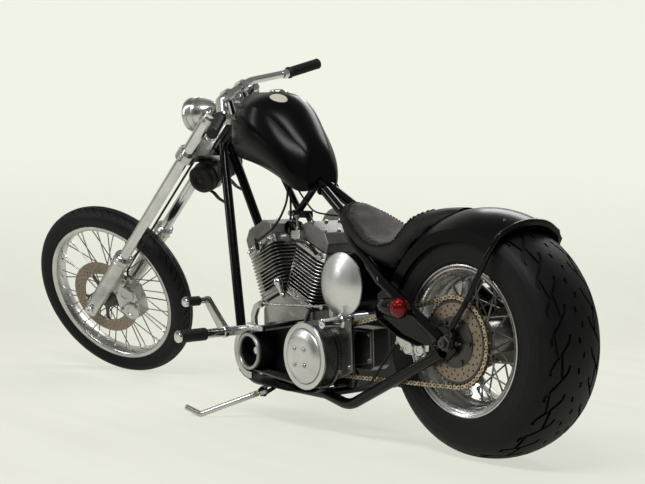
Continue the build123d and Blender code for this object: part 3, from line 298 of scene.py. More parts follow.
def set_in_place(piece, body, material, slot, *nodes):
    """Gives a finished piece its material and its body, and hides the CAD nodes it stands for."""
    piece.data.materials.clear()
    piece.data.materials.append(material)
    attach(piece, body)
    if nodes:
        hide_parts(*nodes)
    return piece


def flattened(piece):
    """Turns a piece and its modifiers into a plain mesh."""
    seen = piece.evaluated_get(bpy.context.evaluated_depsgraph_get())
    mesh = bpy.data.meshes.new_from_object(seen)
    piece.modifiers.clear()
    old = piece.data
    piece.data = mesh
    bpy.data.meshes.remove(old)
    return piece


def round_the_axle():
    """Geometry Nodes: copies of the mesh about its own y axis, joined where they meet."""
    tree = bpy.data.node_groups.new("round_the_axle", "GeometryNodeTree")
    tree.interface.new_socket("Geometry", in_out="INPUT", socket_type="NodeSocketGeometry")
    tree.interface.new_socket("Copies", in_out="INPUT", socket_type="NodeSocketInt")
    tree.interface.new_socket("Merge", in_out="INPUT", socket_type="NodeSocketFloat")
    tree.interface.new_socket("Material", in_out="INPUT", socket_type="NodeSocketMaterial")
    tree.interface.new_socket("Geometry", in_out="OUTPUT", socket_type="NodeSocketGeometry")
    add = node_maker(tree)
    given = add("NodeGroupInput")
    step = add("ShaderNodeMath", {0: math.tau, 1: given.outputs["Copies"]}, operation="DIVIDE")
    line = add("GeometryNodeMeshLine", {"Count": given.outputs["Copies"], "Offset": (0, 0, 0)})
    index = add("GeometryNodeInputIndex")
    angle = add("ShaderNodeMath", {0: index.outputs[0], 1: step.outputs[0]}, operation="MULTIPLY")
    turn = add("ShaderNodeCombineXYZ", {"Y": angle.outputs[0]})
    copies = add("GeometryNodeInstanceOnPoints", {"Points": line.outputs[0], "Instance": given.outputs["Geometry"],
                                                  "Rotation": turn.outputs[0]})
    real = add("GeometryNodeRealizeInstances", {"Geometry": copies.outputs[0]})
    joined = add("GeometryNodeMergeByDistance", {"Geometry": real.outputs[0], "Distance": given.outputs["Merge"]})
    painted = add("GeometryNodeSetMaterial", {"Geometry": joined.outputs[0], "Material": given.outputs["Material"]})
    result = add("NodeGroupOutput")
    tree.links.new(painted.outputs[0], result.inputs[0])
    return tree


AXLE_COPIES = round_the_axle()


def set_inputs(modifier, **values):
    """Sets a Geometry Nodes modifier's named inputs by their identifiers."""
    for item in modifier.node_group.interface.items_tree:
        if item.item_type == "SOCKET" and item.in_out == "INPUT" and item.name in values:
            modifier[item.identifier] = values[item.name]


def sharpened(piece, crease):
    """Marks the edges sharper than the crease on a finished mesh."""
    built = bmesh.new()
    built.from_mesh(piece.data)
    for edge in built.edges:
        edge.smooth = len(edge.link_faces) == 2 and edge.calc_face_angle(0) < math.radians(crease)
    built.to_mesh(piece.data)
    built.free()
    return piece


def round_axle(piece, copies, material, place, merge=0.0, crease=40):
    """Repeats a piece drawn round the origin, then sets it at its wheel."""
    modifier = piece.modifiers.new("round the axle", "NODES")
    modifier.node_group = AXLE_COPIES
    set_inputs(modifier, Copies=copies, Merge=merge, Material=material)
    sharpened(flattened(piece), crease)
    piece.data.transform(place)
    return piece


def groove_cutter(points, width, depth, mirrored, shift):
    """A prism along a bent line, to be cut out of the flat tread."""
    line = [Vector((along + shift, -across if mirrored else across, 0)) for across, along in points]
    left, right = [], []
    for i, point in enumerate(line):
        before = (point - line[i - 1]).normalized() if i else (line[1] - point).normalized()
        after = (line[i + 1] - point).normalized() if i + 1 < len(line) else before
        bisect = (before + after).normalized()
        normal = Vector((-bisect.y, bisect.x, 0))
        reach = width / 2 / max(0.5, normal.dot(Vector((-before.y, before.x, 0))))
        left.append(point + normal * reach)
        right.append(point - normal * reach)
    outline = left + right[::-1]
    count = len(outline)
    top = [(p.x, p.y, 0.004) for p in outline]
    bottom = [(p.x, p.y, -depth) for p in outline]
    walls = [(i, (i + 1) % count, (i + 1) % count + count, i + count) for i in range(count)]
    half = count // 2
    caps = []
    for i in range(half - 1):
        quad = (i, i + 1, count - 2 - i, count - 1 - i)
        caps += [quad, tuple(v + count for v in reversed(quad))]
    return top + bottom, walls + caps


def tyre_pitch(name, section, radius, pitches, grooves, width, depth, columns):
    """One pitch of a tyre: grooves cut from a flat slab of tread, which is then bent onto the section."""
    full = [(y, r) for y, r in section] + [(-y, r) for y, r in reversed(section[:-1])]
    centre = len(section) - 1
    across = [0.0]
    for (y0, r0), (y1, r1) in zip(full, full[1:]):
        across.append(across[-1] + math.hypot(y1 - y0, r1 - r0))
    across = [across[centre] - a for a in across]
    pitch = math.tau * radius / pitches
    vertices, faces = [], []
    rows = len(full)
    for level in (0.0, -0.012):
        for column in range(columns + 1):
            vertices += [(pitch * column / columns, a, level) for a in across]
    layer = rows * (columns + 1)
    for column in range(columns):
        for row in range(rows - 1):
            a = column * rows + row
            faces.append((a, a + rows, a + rows + 1, a + 1))
            faces.append((a + layer + 1, a + layer + rows + 1, a + layer + rows, a + layer))
    for column in range(columns):
        for row in (0, rows - 1):
            a = column * rows + row
            faces.append((a, a + layer, a + layer + rows, a + rows))
    for row in range(rows - 1):
        for column in (0, columns):
            a = column * rows + row
            faces.append((a, a + 1, a + layer + 1, a + layer))
    slab = mesh_object(name, vertices, faces)
    cut_points, cut_faces = [], []
    for points in grooves:
        for mirrored in (False, True):
            for turn in (-1, 0, 1):
                shift = turn * pitch + (pitch / 4 if mirrored else 0)
                if max(p[1] for p in points) + shift < -0.004 or min(p[1] for p in points) + shift > pitch + 0.004:
                    continue
                more, walls = groove_cutter(points, width, depth, mirrored, shift)
                first = len(cut_points)
                cut_points += more
                cut_faces += [tuple(v + first for v in wall) for wall in walls]
    cutter = mesh_object(name + "_cutter", cut_points, cut_faces, merge=1e-7)
    cut = slab.modifiers.new("grooves", "BOOLEAN")
    cut.operation = "DIFFERENCE"
    cut.solver = "EXACT"
    cut.use_self = True
    cut.object = cutter
    flattened(slab)
    bpy.data.objects.remove(cutter)
    built = bmesh.new()
    built.from_mesh(slab.data)
    unseen = []
    for face in built.faces:
        middle = face.calc_center_median()
        at_edge = min(middle.x, pitch - middle.x) < 1e-5 and abs(face.normal.x) > 0.99
        at_bead = min(across[0] - middle.y, middle.y - across[-1]) < 1e-6
        if at_edge or at_bead or middle.z < -0.0115:
            unseen.append(face)
    bmesh.ops.delete(built, geom=unseen, context="FACES")
    ascending = across[::-1]
    for vertex in built.verts:
        flat = vertex.co
        y = min(max(flat.y, ascending[0]), ascending[-1])
        i = 0
        while i < len(ascending) - 2 and ascending[i + 1] < y:
            i += 1
        share = (y - ascending[i]) / (ascending[i + 1] - ascending[i])
        low, high = full[rows - 1 - i], full[rows - 2 - i]
        at_y = low[0] + (high[0] - low[0]) * share
        at_r = low[1] + (high[1] - low[1]) * share
        along = Vector((high[0] - low[0], high[1] - low[1])).normalized()
        at_y += -along.y * flat.z
        at_r += along.x * flat.z
        angle = flat.x / radius
        vertex.co = Vector((-at_r * math.sin(angle), at_y, at_r * math.cos(angle)))
    built.to_mesh(slab.data)
    built.free()
    for face in slab.data.polygons:
        face.use_smooth = True
    return slab


def close_bead(piece):
    """Joins the two beads with a band, so that the tyre is a closed ring."""
    built = bmesh.new()
    built.from_mesh(piece.data)
    rims = [edge for edge in built.edges if len(edge.link_faces) == 1]
    bmesh.ops.bridge_loops(built, edges=rims)
    bmesh.ops.recalc_face_normals(built, faces=built.faces)
    built.to_mesh(piece.data)
    built.free()


TYRE_RUBBER = rubber("tyre_rubber")


def make_tyre(name, section, radius, pitches, grooves, width, depth, columns, place, body):
    tyre = tyre_pitch(name, section, radius, pitches, grooves, width, depth, columns)
    round_axle(tyre, pitches, TYRE_RUBBER, Matrix.Identity(4), merge=0.00012, crease=32)
    close_bead(tyre)
    tyre.data.transform(place)
    return set_in_place(tyre, body, TYRE_RUBBER, "tyre", name)


AT_REAR = BIKE @ Matrix.Translation(REAR_AXLE)
AT_FRONT = FORK @ Matrix.Translation(FRONT_AXLE)
make_tyre("rear_tyre", REAR_TYRE_SECTION, REAR_RADIUS, REAR_TYRE_PITCHES, REAR_TYRE_GROOVES, TYRE_GROOVE_WIDTH,
          TYRE_GROOVE_DEPTH, 10, AT_REAR, "rear_wheel")


# The front tyre is a narrow 21 inch road tyre: round crown, a groove near the middle and slanted side grooves.
FRONT_TYRE_PITCHES = 30
FRONT_TYRE_SECTION = [
    (0.0295, 0.2672), (0.0315, 0.272), (0.0325, 0.2795), (0.0370, 0.284), (0.0400, 0.290), (0.0396, 0.2915),
    (0.0430, 0.300), (0.0446, 0.309), (0.0440, 0.3175), (0.0415, 0.3245), (0.0365, 0.3315), (0.0295, 0.3375),
    (0.0215, 0.3424), (0.0115, 0.3458), (0.0, 0.347),
]
FRONT_TYRE_GROOVES = [
    [(0.0065, 0.000), (0.0095, 0.020), (0.0065, 0.040), (0.0095, 0.060), (0.0065, 0.080)],
    [(0.0150, 0.006), (0.0260, 0.026), (0.0370, 0.034)],
    [(0.0120, 0.042), (0.0210, 0.054), (0.0320, 0.068)],
]
make_tyre("front_tyre", FRONT_TYRE_SECTION, FRONT_RADIUS, FRONT_TYRE_PITCHES, FRONT_TYRE_GROOVES, 0.0038, 0.0038,
          8, AT_FRONT, "front_wheel")


# The rims are spun from aluminium and polished, with a deep well for the spoke nipples. Stainless spokes cross
# from hub flanges to the well. The front disc is a drilled bronze-coloured band on a dark five-armed spider.
def metal(name, color, low, high, grain=60.0, stretch=(1, 1, 1), dent=0.0, dirt=0.35):
    """Bare or plated metal: fine polishing marks, smudges that dull it, and a little grime in soft patches."""
    material = bpy.data.materials.new(name)
    material.use_nodes = True
    tree = material.node_tree
    add = node_maker(tree)
    shader = tree.nodes["Principled BSDF"]
    shader.inputs["Metallic"].default_value = 1.0
    place = add("ShaderNodeTexCoord").outputs["Object"]
    drawn = add("ShaderNodeMapping", {"Vector": place, "Scale": stretch})
    marks = add("ShaderNodeTexNoise", {"Vector": drawn.outputs[0], "Scale": grain * 5, "Detail": 5.0, "Roughness": 0.6})
    smudges = add("ShaderNodeTexNoise", {"Vector": place, "Scale": 9.0, "Detail": 4.0, "Roughness": 0.55})
    both = add("ShaderNodeMath", {0: marks.outputs["Fac"], 1: 0.25, 2: smudges.outputs["Fac"]}, operation="MULTIPLY_ADD")
    dull = add("ShaderNodeMapRange", {"Value": both.outputs[0], "From Min": 0.42, "From Max": 0.84, "To Min": low,
                                      "To Max": high})
    tree.links.new(dull.outputs[0], shader.inputs["Roughness"])
    tone = add("ShaderNodeValToRGB", {"Fac": both.outputs[0]})
    tone.color_ramp.elements[0].position = 0.42
    tone.color_ramp.elements[0].color = tuple(c * (1 - dirt) for c in color[:3]) + (1,)
    tone.color_ramp.elements[1].position = 0.70
    tone.color_ramp.elements[1].color = color
    tree.links.new(tone.outputs[0], shader.inputs["Base Color"])
    relief = add("ShaderNodeBump", {"Height": marks.outputs["Fac"], "Strength": 0.04 + dent, "Distance": 0.0001 + dent * 0.0006})
    tree.links.new(relief.outputs[0], shader.inputs["Normal"])
    return material


POLISHED = metal("polished_aluminium", (0.66, 0.66, 0.645, 1), 0.18, 0.32, 400.0)
SATIN = metal("satin_aluminium", (0.78, 0.785, 0.78, 1), 0.28, 0.42, 400.0, dirt=0.22)
BRUSHED = metal("brushed_aluminium", (0.50, 0.495, 0.475, 1), 0.30, 0.48, 22.0, (9, 9, 1))
CAST = metal("cast_aluminium", (0.42, 0.42, 0.41, 1), 0.34, 0.55, 60.0, dent=0.4)
CHROME = metal("chrome", (0.76, 0.765, 0.77, 1), 0.08, 0.18, 400.0, dirt=0.25)
STEEL = metal("bright_steel", (0.55, 0.54, 0.52, 1), 0.18, 0.36, 400.0)
DARK_STEEL = metal("dark_steel", (0.10, 0.095, 0.09, 1), 0.32, 0.52, 400.0)
BRONZE = metal("bronze_steel", (0.33, 0.275, 0.22, 1), 0.34, 0.50, 300.0)
SPOKE_STEEL = metal("spoke_steel", (0.30, 0.29, 0.27, 1), 0.26, 0.44, 400.0, dirt=0.6)
GOLD = metal("gold_plate", (0.66, 0.56, 0.41, 1), 0.26, 0.44, 400.0, dirt=0.5)
# Gold plate dimmed as painted shade, for the inner chain links that sit back between the outer plates.
SHADED_GOLD = metal("oiled_gold_plate", (0.26, 0.21, 0.14, 1), 0.30, 0.50, 400.0, dirt=0.7)


def finish_node(name, material):
    """Puts a finish on a CAD piece through its object's slots."""
    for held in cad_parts[name].material_slots:
        held.link = "OBJECT"
        held.material = material


def square_to(direction):
    """Two directions square to each other and to the one given."""
    direction = Vector(direction).normalized()
    first = direction.orthogonal().normalized()
    return direction, first, direction.cross(first)


def lathe(profile, origin, direction, segments=32):
    """A turned shape: rings at distances along a line, with their radii. A radius of 0 closes it to a point."""
    direction, first, second = square_to(direction)
    origin = Vector(origin)
    points, faces = [], []
    for along, radius in profile:
        centre = origin + direction * along
        for i in range(segments):
            turn = math.tau * i / segments
            points.append(centre + (first * math.cos(turn) + second * math.sin(turn)) * radius)
    for row in range(len(profile) - 1):
        for i in range(segments):
            a, b = row * segments + i, row * segments + (i + 1) % segments
            faces.append((a, b, b + segments, a + segments))
    return points, faces


def capped(profile):
    """A turned profile closed at both ends."""
    return [(profile[0][0], 0.0)] + list(profile) + [(profile[-1][0], 0.0)]


def ring(inner, outer, y0, y1, origin, segments=64):
    """A flat ring across the bike."""
    profile = [(y0, inner), (y0, outer), (y1, outer), (y1, inner), (y0, inner)]
    return lathe(profile, origin, (0, 1, 0), segments)


def slab(outline, y0, y1):
    """A flat plate facing sideways, from its outline in x and z."""
    count = len(outline)
    points = [Vector((x, y, z)) for y in (y0, y1) for x, z in outline]
    faces = [tuple(range(count)), tuple(range(2 * count - 1, count - 1, -1))]
    faces += [(i, (i + 1) % count, (i + 1) % count + count, i + count) for i in range(count)]
    return points, faces


def moved(shape, place):
    points, faces = shape
    return [place @ Vector(p) for p in points], faces


def piece_of(name, shapes, place, material, body, slot, nodes=(), crease=38, bevel=0.0):
    """One piece made of several shapes, set in place."""
    points, faces = [], []
    for shape_points, shape_faces in shapes:
        first = len(points)
        points += shape_points
        faces += [tuple(v + first for v in face) for face in shape_faces]
    piece = mesh_object(name, points, faces, place, crease)
    if bevel:
        edge = piece.modifiers.new("edges", "BEVEL")
        edge.width = bevel
        edge.segments = 2
        edge.limit_method = "ANGLE"
        edge.angle_limit = math.radians(32)
    return set_in_place(piece, body, material, slot, *nodes)


def copies_at_points():
    """Geometry Nodes: a copy of the stamp at each point, turned by the point's own angles."""
    tree = bpy.data.node_groups.new("copies_at_points", "GeometryNodeTree")
    tree.interface.new_socket("Geometry", in_out="INPUT", socket_type="NodeSocketGeometry")
    tree.interface.new_socket("Stamp", in_out="INPUT", socket_type="NodeSocketObject")
    tree.interface.new_socket("Material", in_out="INPUT", socket_type="NodeSocketMaterial")
    tree.interface.new_socket("Geometry", in_out="OUTPUT", socket_type="NodeSocketGeometry")
    add = node_maker(tree)
    given = add("NodeGroupInput")
    stamp = add("GeometryNodeObjectInfo", {"Object": given.outputs["Stamp"]})
    turn = add("GeometryNodeInputNamedAttribute", {"Name": "turn"}, data_type="FLOAT_VECTOR")
    copies = add("GeometryNodeInstanceOnPoints", {"Points": given.outputs["Geometry"],
                                                  "Instance": stamp.outputs["Geometry"],
                                                  "Rotation": turn.outputs["Attribute"]})
    real = add("GeometryNodeRealizeInstances", {"Geometry": copies.outputs[0]})
    painted = add("GeometryNodeSetMaterial", {"Geometry": real.outputs[0], "Material": given.outputs["Material"]})
    result = add("NodeGroupOutput")
    tree.links.new(painted.outputs[0], result.inputs[0])
    return tree


COPIES_AT_POINTS = copies_at_points()


def repeated(name, shapes, places, place, material, body, slot, nodes=(), crease=38):
    """Copies of one small shape at many places, as one piece. The shape is drawn round the origin."""
    points, faces = [], []
    for shape_points, shape_faces in shapes:
        first = len(points)
        points += shape_points
        faces += [tuple(v + first for v in face) for face in shape_faces]
    stamp = mesh_object(name + "_stamp", points, faces, None, crease)
    mesh = bpy.data.meshes.new(name)
    mesh.from_pydata([tuple(spot.translation) for spot in places], [], [])
    turn = mesh.attributes.new("turn", "FLOAT_VECTOR", "POINT")
    for i, spot in enumerate(places):
        turn.data[i].vector = spot.to_euler()
    piece = bpy.data.objects.new(name, mesh)
    bpy.context.scene.collection.objects.link(piece)
    modifier = piece.modifiers.new("copies", "NODES")
    modifier.node_group = COPIES_AT_POINTS
    set_inputs(modifier, Stamp=stamp, Material=material)
    flattened(piece)
    bpy.data.objects.remove(stamp)
    piece.data.transform(place)
    return set_in_place(piece, body, material, slot, *nodes)


def aimed(point, direction):
    """The place of a stamp drawn along z, set at a point and turned along a direction."""
    turn = Vector(direction).to_track_quat("Z", "Y").to_matrix().to_4x4()
    return Matrix.Translation(Vector(point)) @ turn


REAR_RIM = [
    # y and radius of the left half: the tyre's side from the middle out, the rolled lip, and the dish back in
    (0.0, 0.1710), (0.0430, 0.1725), (0.0520, 0.1850), (0.0930, 0.1880), (0.1050, 0.1925), (0.1062, 0.2010),
    (0.1075, 0.2055), (0.1095, 0.2068), (0.1108, 0.2052), (0.1104, 0.2026), (0.1082, 0.2008), (0.1072, 0.1950),
    (0.1060, 0.1905), (0.1010, 0.1872), (0.0940, 0.1838), (0.0900, 0.1834), (0.0620, 0.1812), (0.0540, 0.1765),
    (0.0470, 0.1690), (0.0400, 0.1680), (0.0, 0.1680),
]
FRONT_RIM = [
    (0.0, 0.2605), (0.0100, 0.2612), (0.0170, 0.2660), (0.0295, 0.2672), (0.0308, 0.2740), (0.0318, 0.2788),
    (0.0332, 0.2800), (0.0344, 0.2785), (0.0340, 0.2750), (0.0330, 0.2700), (0.0305, 0.2640), (0.0250, 0.2615),
    (0.0200, 0.2602), (0.0150, 0.2580), (0.0, 0.2575),
]


def make_rim(name, half, place, body):
    """A spun rim: the half section and its mirror image, turned about the axle."""
    outline = half + [(-y, r) for y, r in reversed(half)]
    return piece_of(name, [lathe(outline, (0, 0, 0), (0, 1, 0), 128)], place, POLISHED, body, "polished", (name,), crease=50)


make_rim("rear_rim", REAR_RIM, AT_REAR, "rear_wheel")
make_rim("front_rim", FRONT_RIM, AT_FRONT, "front_wheel")
for wheel_node in ("rear_hub_and_spokes", "front_hub_and_spokes"):
    finish_node(wheel_node, SPOKE_STEEL)


def spoke_nipples(name, centre, count, hub_radius, flange_y, rim_radius, rim_y, lead, body):
    """A brass nipple, nickel plated, where each spoke meets the rim."""
    places = []
    for side in (1, -1):
        for i in range(count):
            at_rim = math.tau * (i + 0.25 * side) / count
            at_hub = at_rim + math.radians(lead) * (1 if i % 2 else -1)
            y_hub = side * (flange_y + (0.0025 if i % 2 else -0.0025))
            start = centre + Vector((hub_radius * math.cos(at_hub), y_hub, hub_radius * math.sin(at_hub)))
            end = centre + Vector((rim_radius * math.cos(at_rim), side * rim_y, rim_radius * math.sin(at_rim)))
            places.append(aimed(end, start - end))
    shape = lathe([(-0.002, 0), (-0.002, 0.0055), (0.002, 0.0052), (0.004, 0.0038), (0.019, 0.0034), (0.0195, 0)],
                  (0, 0, 0), (0, 0, 1), 8)
    place = BIKE if body == "rear_wheel" else FORK
    return repeated(name, [shape], places, place, CHROME, body, "chrome")


spoke_nipples("rear_nipples", REAR_AXLE, 24, 0.071, 0.067, 0.168, 0.024, 32, "rear_wheel")
spoke_nipples("front_nipples", FRONT_AXLE, 20, 0.047, 0.0325, 0.258, 0.007, 42, "front_wheel")


def drill(piece, holes, radius, y0, y1, place):
    """Drills round holes across a piece, at points in x and z."""
    shapes = [lathe(capped([(y0, radius), (y1, radius)]), (x, 0, z), (0, 1, 0), 10) for x, z in holes]
    points, faces = [], []
    for shape_points, shape_faces in shapes:
        first = len(points)
        points += shape_points
        faces += [tuple(v + first for v in face) for face in shape_faces]
    cutter = mesh_object(piece.name + "_drill", points, faces, place)
    cut = piece.modifiers.new("holes", "BOOLEAN")
    cut.operation = "DIFFERENCE"
    cut.solver = "EXACT"
    cut.object = cutter
    sharpened(flattened(piece), 30)
    bpy.data.objects.remove(cutter)
    return piece


def on_circle(centre, radius, count, start=0.0):
    """Points in x and z round an axle."""
    return [(centre.x + radius * math.cos(math.tau * i / count + start),
             centre.z + radius * math.sin(math.tau * i / count + start)) for i in range(count)]


FRONT_DISC = (0.0570, 0.0620)    # the disc's two faces, y
front_band = piece_of("front_brake_disc", [ring(0.098, 0.146, *FRONT_DISC, (FRONT_AXLE.x, 0, FRONT_AXLE.z), 96)], FORK,
                      BRONZE, "front_wheel", "rotor", ("front_brake_disc",))
band_holes = []
for row, (hole_radius, shift) in enumerate([(0.1065, 0), (0.1165, 0.5), (0.1265, 0), (0.1365, 0.5)]):
    band_holes += on_circle(FRONT_AXLE, hole_radius, 30, math.tau * shift / 30)
drill(front_band, band_holes, 0.0030, 0.05, 0.07, FORK)
spider = []
for i in range(5):
    middle = math.tau * i / 5
    arm = [(-0.24, 0.040), (-0.10, 0.062), (-0.085, 0.101), (0.085, 0.101), (0.10, 0.062), (0.24, 0.040),
           (0.20, 0.018), (-0.20, 0.018)]
    outline = [(FRONT_AXLE.x + r * math.cos(middle + a), FRONT_AXLE.z + r * math.sin(middle + a)) for a, r in arm]
    spider.append(slab(outline, 0.0560, 0.0605))
spider.append(ring(0.018, 0.044, 0.0555, 0.0610, (FRONT_AXLE.x, 0, FRONT_AXLE.z), 40))
piece_of("front_disc_spider", spider, FORK, DARK_STEEL, "front_wheel", "steel", bevel=0.0006)
button = lathe([(-0.0045, 0), (-0.0045, 0.0062), (0.0005, 0.0062), (0.0015, 0.0045), (0.0016, 0)], (0, 0, 0),
               (0, 0, 1), 12)
repeated("front_disc_buttons", [button], [aimed((x, 0.0620, z), (0, 1, 0)) for x, z in on_circle(FRONT_AXLE, 0.0985, 5)],
         FORK, STEEL, "front_wheel", "steel")

# The rear sprocket and brake rotor are one steel disc: dark teeth outside a drilled bronze-coloured band.
ROTOR = (0.1269, 0.1341)
ROTOR_TEETH = 48
TOOTH_ROOT = 0.1108
TOOTH_TIP = 0.1158
teeth = []
for i in range(ROTOR_TEETH):
    for share, radius in ((-0.32, TOOTH_ROOT), (-0.13, TOOTH_TIP), (0.13, TOOTH_TIP), (0.32, TOOTH_ROOT)):
        turn = (i + share) * math.tau / ROTOR_TEETH
        teeth.append((radius * math.cos(turn), REAR_RADIUS + radius * math.sin(turn)))
inner = on_circle(REAR_AXLE, 0.1045, len(teeth), -0.32 * math.tau / ROTOR_TEETH)
count = len(teeth)
gear_points = [Vector((x, y, z)) for y in ROTOR for line in (teeth, inner) for x, z in line]
gear_faces = []
for i in range(count):
    j = (i + 1) % count
    gear_faces += [(i, j, j + count, i + count), (i + 2 * count, i + 3 * count, j + 3 * count, j + 2 * count),
                   (i, i + 2 * count, j + 2 * count, j), (i + count, j + count, j + 3 * count, i + 3 * count)]
piece_of("sprocket_teeth", [(gear_points, gear_faces)], BIKE, DARK_STEEL, "rear_wheel", "steel")
rotor = piece_of("rear_sprocket_rotor", [ring(0.066, 0.1055, 0.1264, 0.1346, (0, 0, REAR_RADIUS), 96)], BIKE, BRONZE,
                 "rear_wheel", "rotor", ("rear_sprocket_rotor",))
drill(rotor, on_circle(REAR_AXLE, 0.0985, 24) + on_circle(REAR_AXLE, 0.0880, 24, math.tau / 48)
      + on_circle(REAR_AXLE, 0.0755, 16), 0.0030, 0.12, 0.14, BIKE)
carrier = [lathe([(0.1200, 0.024), (0.1200, 0.062), (0.1262, 0.0665), (0.1345, 0.0665), (0.1345, 0.070), (0.1370, 0.070),
                  (0.1370, 0.050), (0.1395, 0.046), (0.1395, 0.024), (0.1200, 0.024)], (0, 0, REAR_RADIUS),
                 (0, 1, 0), 64)]
piece_of("rotor_carrier", carrier, BIKE, DARK_STEEL, "rear_wheel", "steel")
HEX_HEAD = lathe([(0, 0), (0, 0.0065), (0.0048, 0.0065), (0.0055, 0.0056), (0.0055, 0)], (0, 0, 0), (0, 0, 1), 6)
repeated("rotor_bolts", [HEX_HEAD], [aimed((x, 0.1370, z), (0, 1, 0)) for x, z in on_circle(REAR_AXLE, 0.060, 6)],
         BIKE, DARK_STEEL, "rear_wheel", "steel", crease=25)


# The drive chain is a 530 chain, gold plated: pairs of waisted side plates on pins and rollers, 108 links long.
LINK_PITCH = 0.015875
CHAIN_Y = 0.1305
REAR_LOOP_R = LINK_PITCH / (2 * math.sin(math.pi / 48))
FRONT_LOOP_R = LINK_PITCH / (2 * math.sin(math.pi / 24))
SHAFT = Vector((0.56146, 0, 0.243))


def on_loop(distance, centre_a, radius_a, centre_b, radius_b):
    """A point of the line round two wheels, starting at the top of the rear one and running forward."""
    across = centre_b - centre_a
    base = math.atan2(across.z, across.x)
    opening = math.acos((radius_a - radius_b) / across.length)
    straight = math.sqrt(across.length ** 2 - (radius_a - radius_b) ** 2)
    stretches = [straight, radius_b * 2 * opening, straight, radius_a * (math.tau - 2 * opening)]
    distance %= sum(stretches)

    def at(centre, radius, turn):
        return centre + Vector((math.cos(turn), 0, math.sin(turn))) * radius
    top, bottom = base + opening, base - opening
    if distance < stretches[0]:
        return at(centre_a, radius_a, top).lerp(at(centre_b, radius_b, top), distance / straight)
    distance -= stretches[0]
    if distance < stretches[1]:
        return at(centre_b, radius_b, top - distance / radius_b)
    distance -= stretches[1]
    if distance < stretches[2]:
        return at(centre_b, radius_b, bottom).lerp(at(centre_a, radius_a, bottom), distance / straight)
    distance -= stretches[2]
    return at(centre_a, radius_a, bottom - distance / radius_a)


def link_plate(y0, y1, half_height, waist):
    outline = []
    for end in (1, -1):
        for step in range(5):
            turn = math.radians(-75 + 150 * step / 4)
            outline.append((end * (LINK_PITCH / 2 + half_height * math.cos(turn)), end * half_height * math.sin(turn)))
        outline.append((0, end * waist))
    return slab(outline, y0, y1)


pins = [on_loop(k * LINK_PITCH, REAR_AXLE, REAR_LOOP_R, SHAFT, FRONT_LOOP_R) + Vector((0, CHAIN_Y, 0))
        for k in range(108)]
link_places = []
for k in range(108):
    here, there = pins[k], pins[(k + 1) % 108]
    along = (there - here).normalized()
    turn = Matrix((along, Vector((0, 1, 0)), along.cross(Vector((0, 1, 0))))).transposed().to_4x4()
    link_places.append(Matrix.Translation((here + there) / 2) @ turn)
outer_link = [link_plate(y, y + 0.0018, 0.0066, 0.0038) for y in (-0.0066, 0.0048)]
link_pins = [lathe(capped([(-0.0080, 0.0028), (0.0080, 0.0028)]), (x, 0, 0), (0, 1, 0), 8)
               for x in (-LINK_PITCH / 2, LINK_PITCH / 2)]
inner_link = [link_plate(y, y + 0.0018, 0.0070, 0.0048) for y in (-0.0046, 0.0028)]
inner_link += [lathe(capped([(-0.0030, 0.0050), (0.0030, 0.0050)]), (x, 0, 0), (0, 1, 0), 8)
               for x in (-LINK_PITCH / 2, LINK_PITCH / 2)]
repeated("drive_chain", outer_link, link_places[::2], BIKE, GOLD, "frame", "gold", ("drive_chain",), crease=30)
repeated("drive_chain_pins", link_pins, link_places[::2], BIKE, DARK_STEEL, "frame", "steel", crease=30)
# Painted shade: the inner links are a dim gold, as they sit back between the outer plates.
repeated("drive_chain_inner_links", inner_link, link_places[1::2], BIKE, SHADED_GOLD, "frame", "gold", crease=30)


# The fork has chromed legs in polished sliders, held by two milled aluminium trees. Dust seals close the sliders,
# cap screws pinch the trees and the axle, and domed caps close the legs at the top.
def swept(points, radius, segments=10, closed=False):
    """A round bar along a line of points."""
    line = [Vector(p) for p in points]
    count = len(line)
    along = []
    for i in range(count):
        before = line[i - 1] if i or closed else line[i]
        after = line[(i + 1) % count] if i + 1 < count or closed else line[i]
        along.append((after - before).normalized())
    side = along[0].orthogonal().normalized()
    vertices, faces = [], []
    for i, point in enumerate(line):
        side = (side - along[i] * side.dot(along[i])).normalized()
        up = along[i].cross(side)
        reach = radius[i] if isinstance(radius, (list, tuple)) else radius
        for k in range(segments):
            turn = math.tau * k / segments
            vertices.append(point + (side * math.cos(turn) + up * math.sin(turn)) * reach)
    for i in range(count if closed else count - 1):
        a, b = i * segments, (i + 1) % count * segments
        for k in range(segments):
            n = (k + 1) % segments
            faces.append((a + k, a + n, b + n, b + k))
    if not closed:
        faces += [tuple(range(segments - 1, -1, -1)), tuple((count - 1) * segments + k for k in range(segments))]
    return vertices, faces


def eased(points, steps=6):
    """A smooth line through a few points."""
    line = [Vector(p) for p in points]
    ends = [line[0] * 2 - line[1]] + line + [line[-1] * 2 - line[-2]]
    curve = []
    for i in range(1, len(ends) - 2):
        a, b, c, d = ends[i - 1:i + 3]
        for step in range(steps):
            t = step / steps
            curve.append(((b * 2) + (c - a) * t + (a * 2 - b * 5 + c * 4 - d) * t * t
                          + (b * 3 - a - c * 3 + d) * t ** 3) * 0.5)
    return curve + [line[-1]]


def block(x0, x1, y0, y1, z0, z1):
    return slab([(x0, z0), (x1, z0), (x1, z1), (x0, z1)], y0, y1)


HEX_HEAD_UNIT = lathe([(0, 0), (0, 1), (0.85, 1), (1, 0.86), (1, 0)], (0, 0, 0), (0, 0, 1), 6)
CAP_SCREW = lathe([(0, 0), (0, 1), (0.8, 1), (1, 0.84), (1, 0.55), (0.45, 0.5), (0.45, 0)], (0, 0, 0), (0, 0, 1), 12)


def screw_heads(name, spots, radius, height, place, material, body, slot="steel", shape=CAP_SCREW, crease=38):
    """Screw heads at points with their directions."""
    points, faces = shape
    head = ([Vector((p[0] * radius, p[1] * radius, p[2] * height)) for p in points], faces)
    return repeated(name, [head], [aimed(p, d) for p, d in spots], place, material, body, slot, crease=crease)


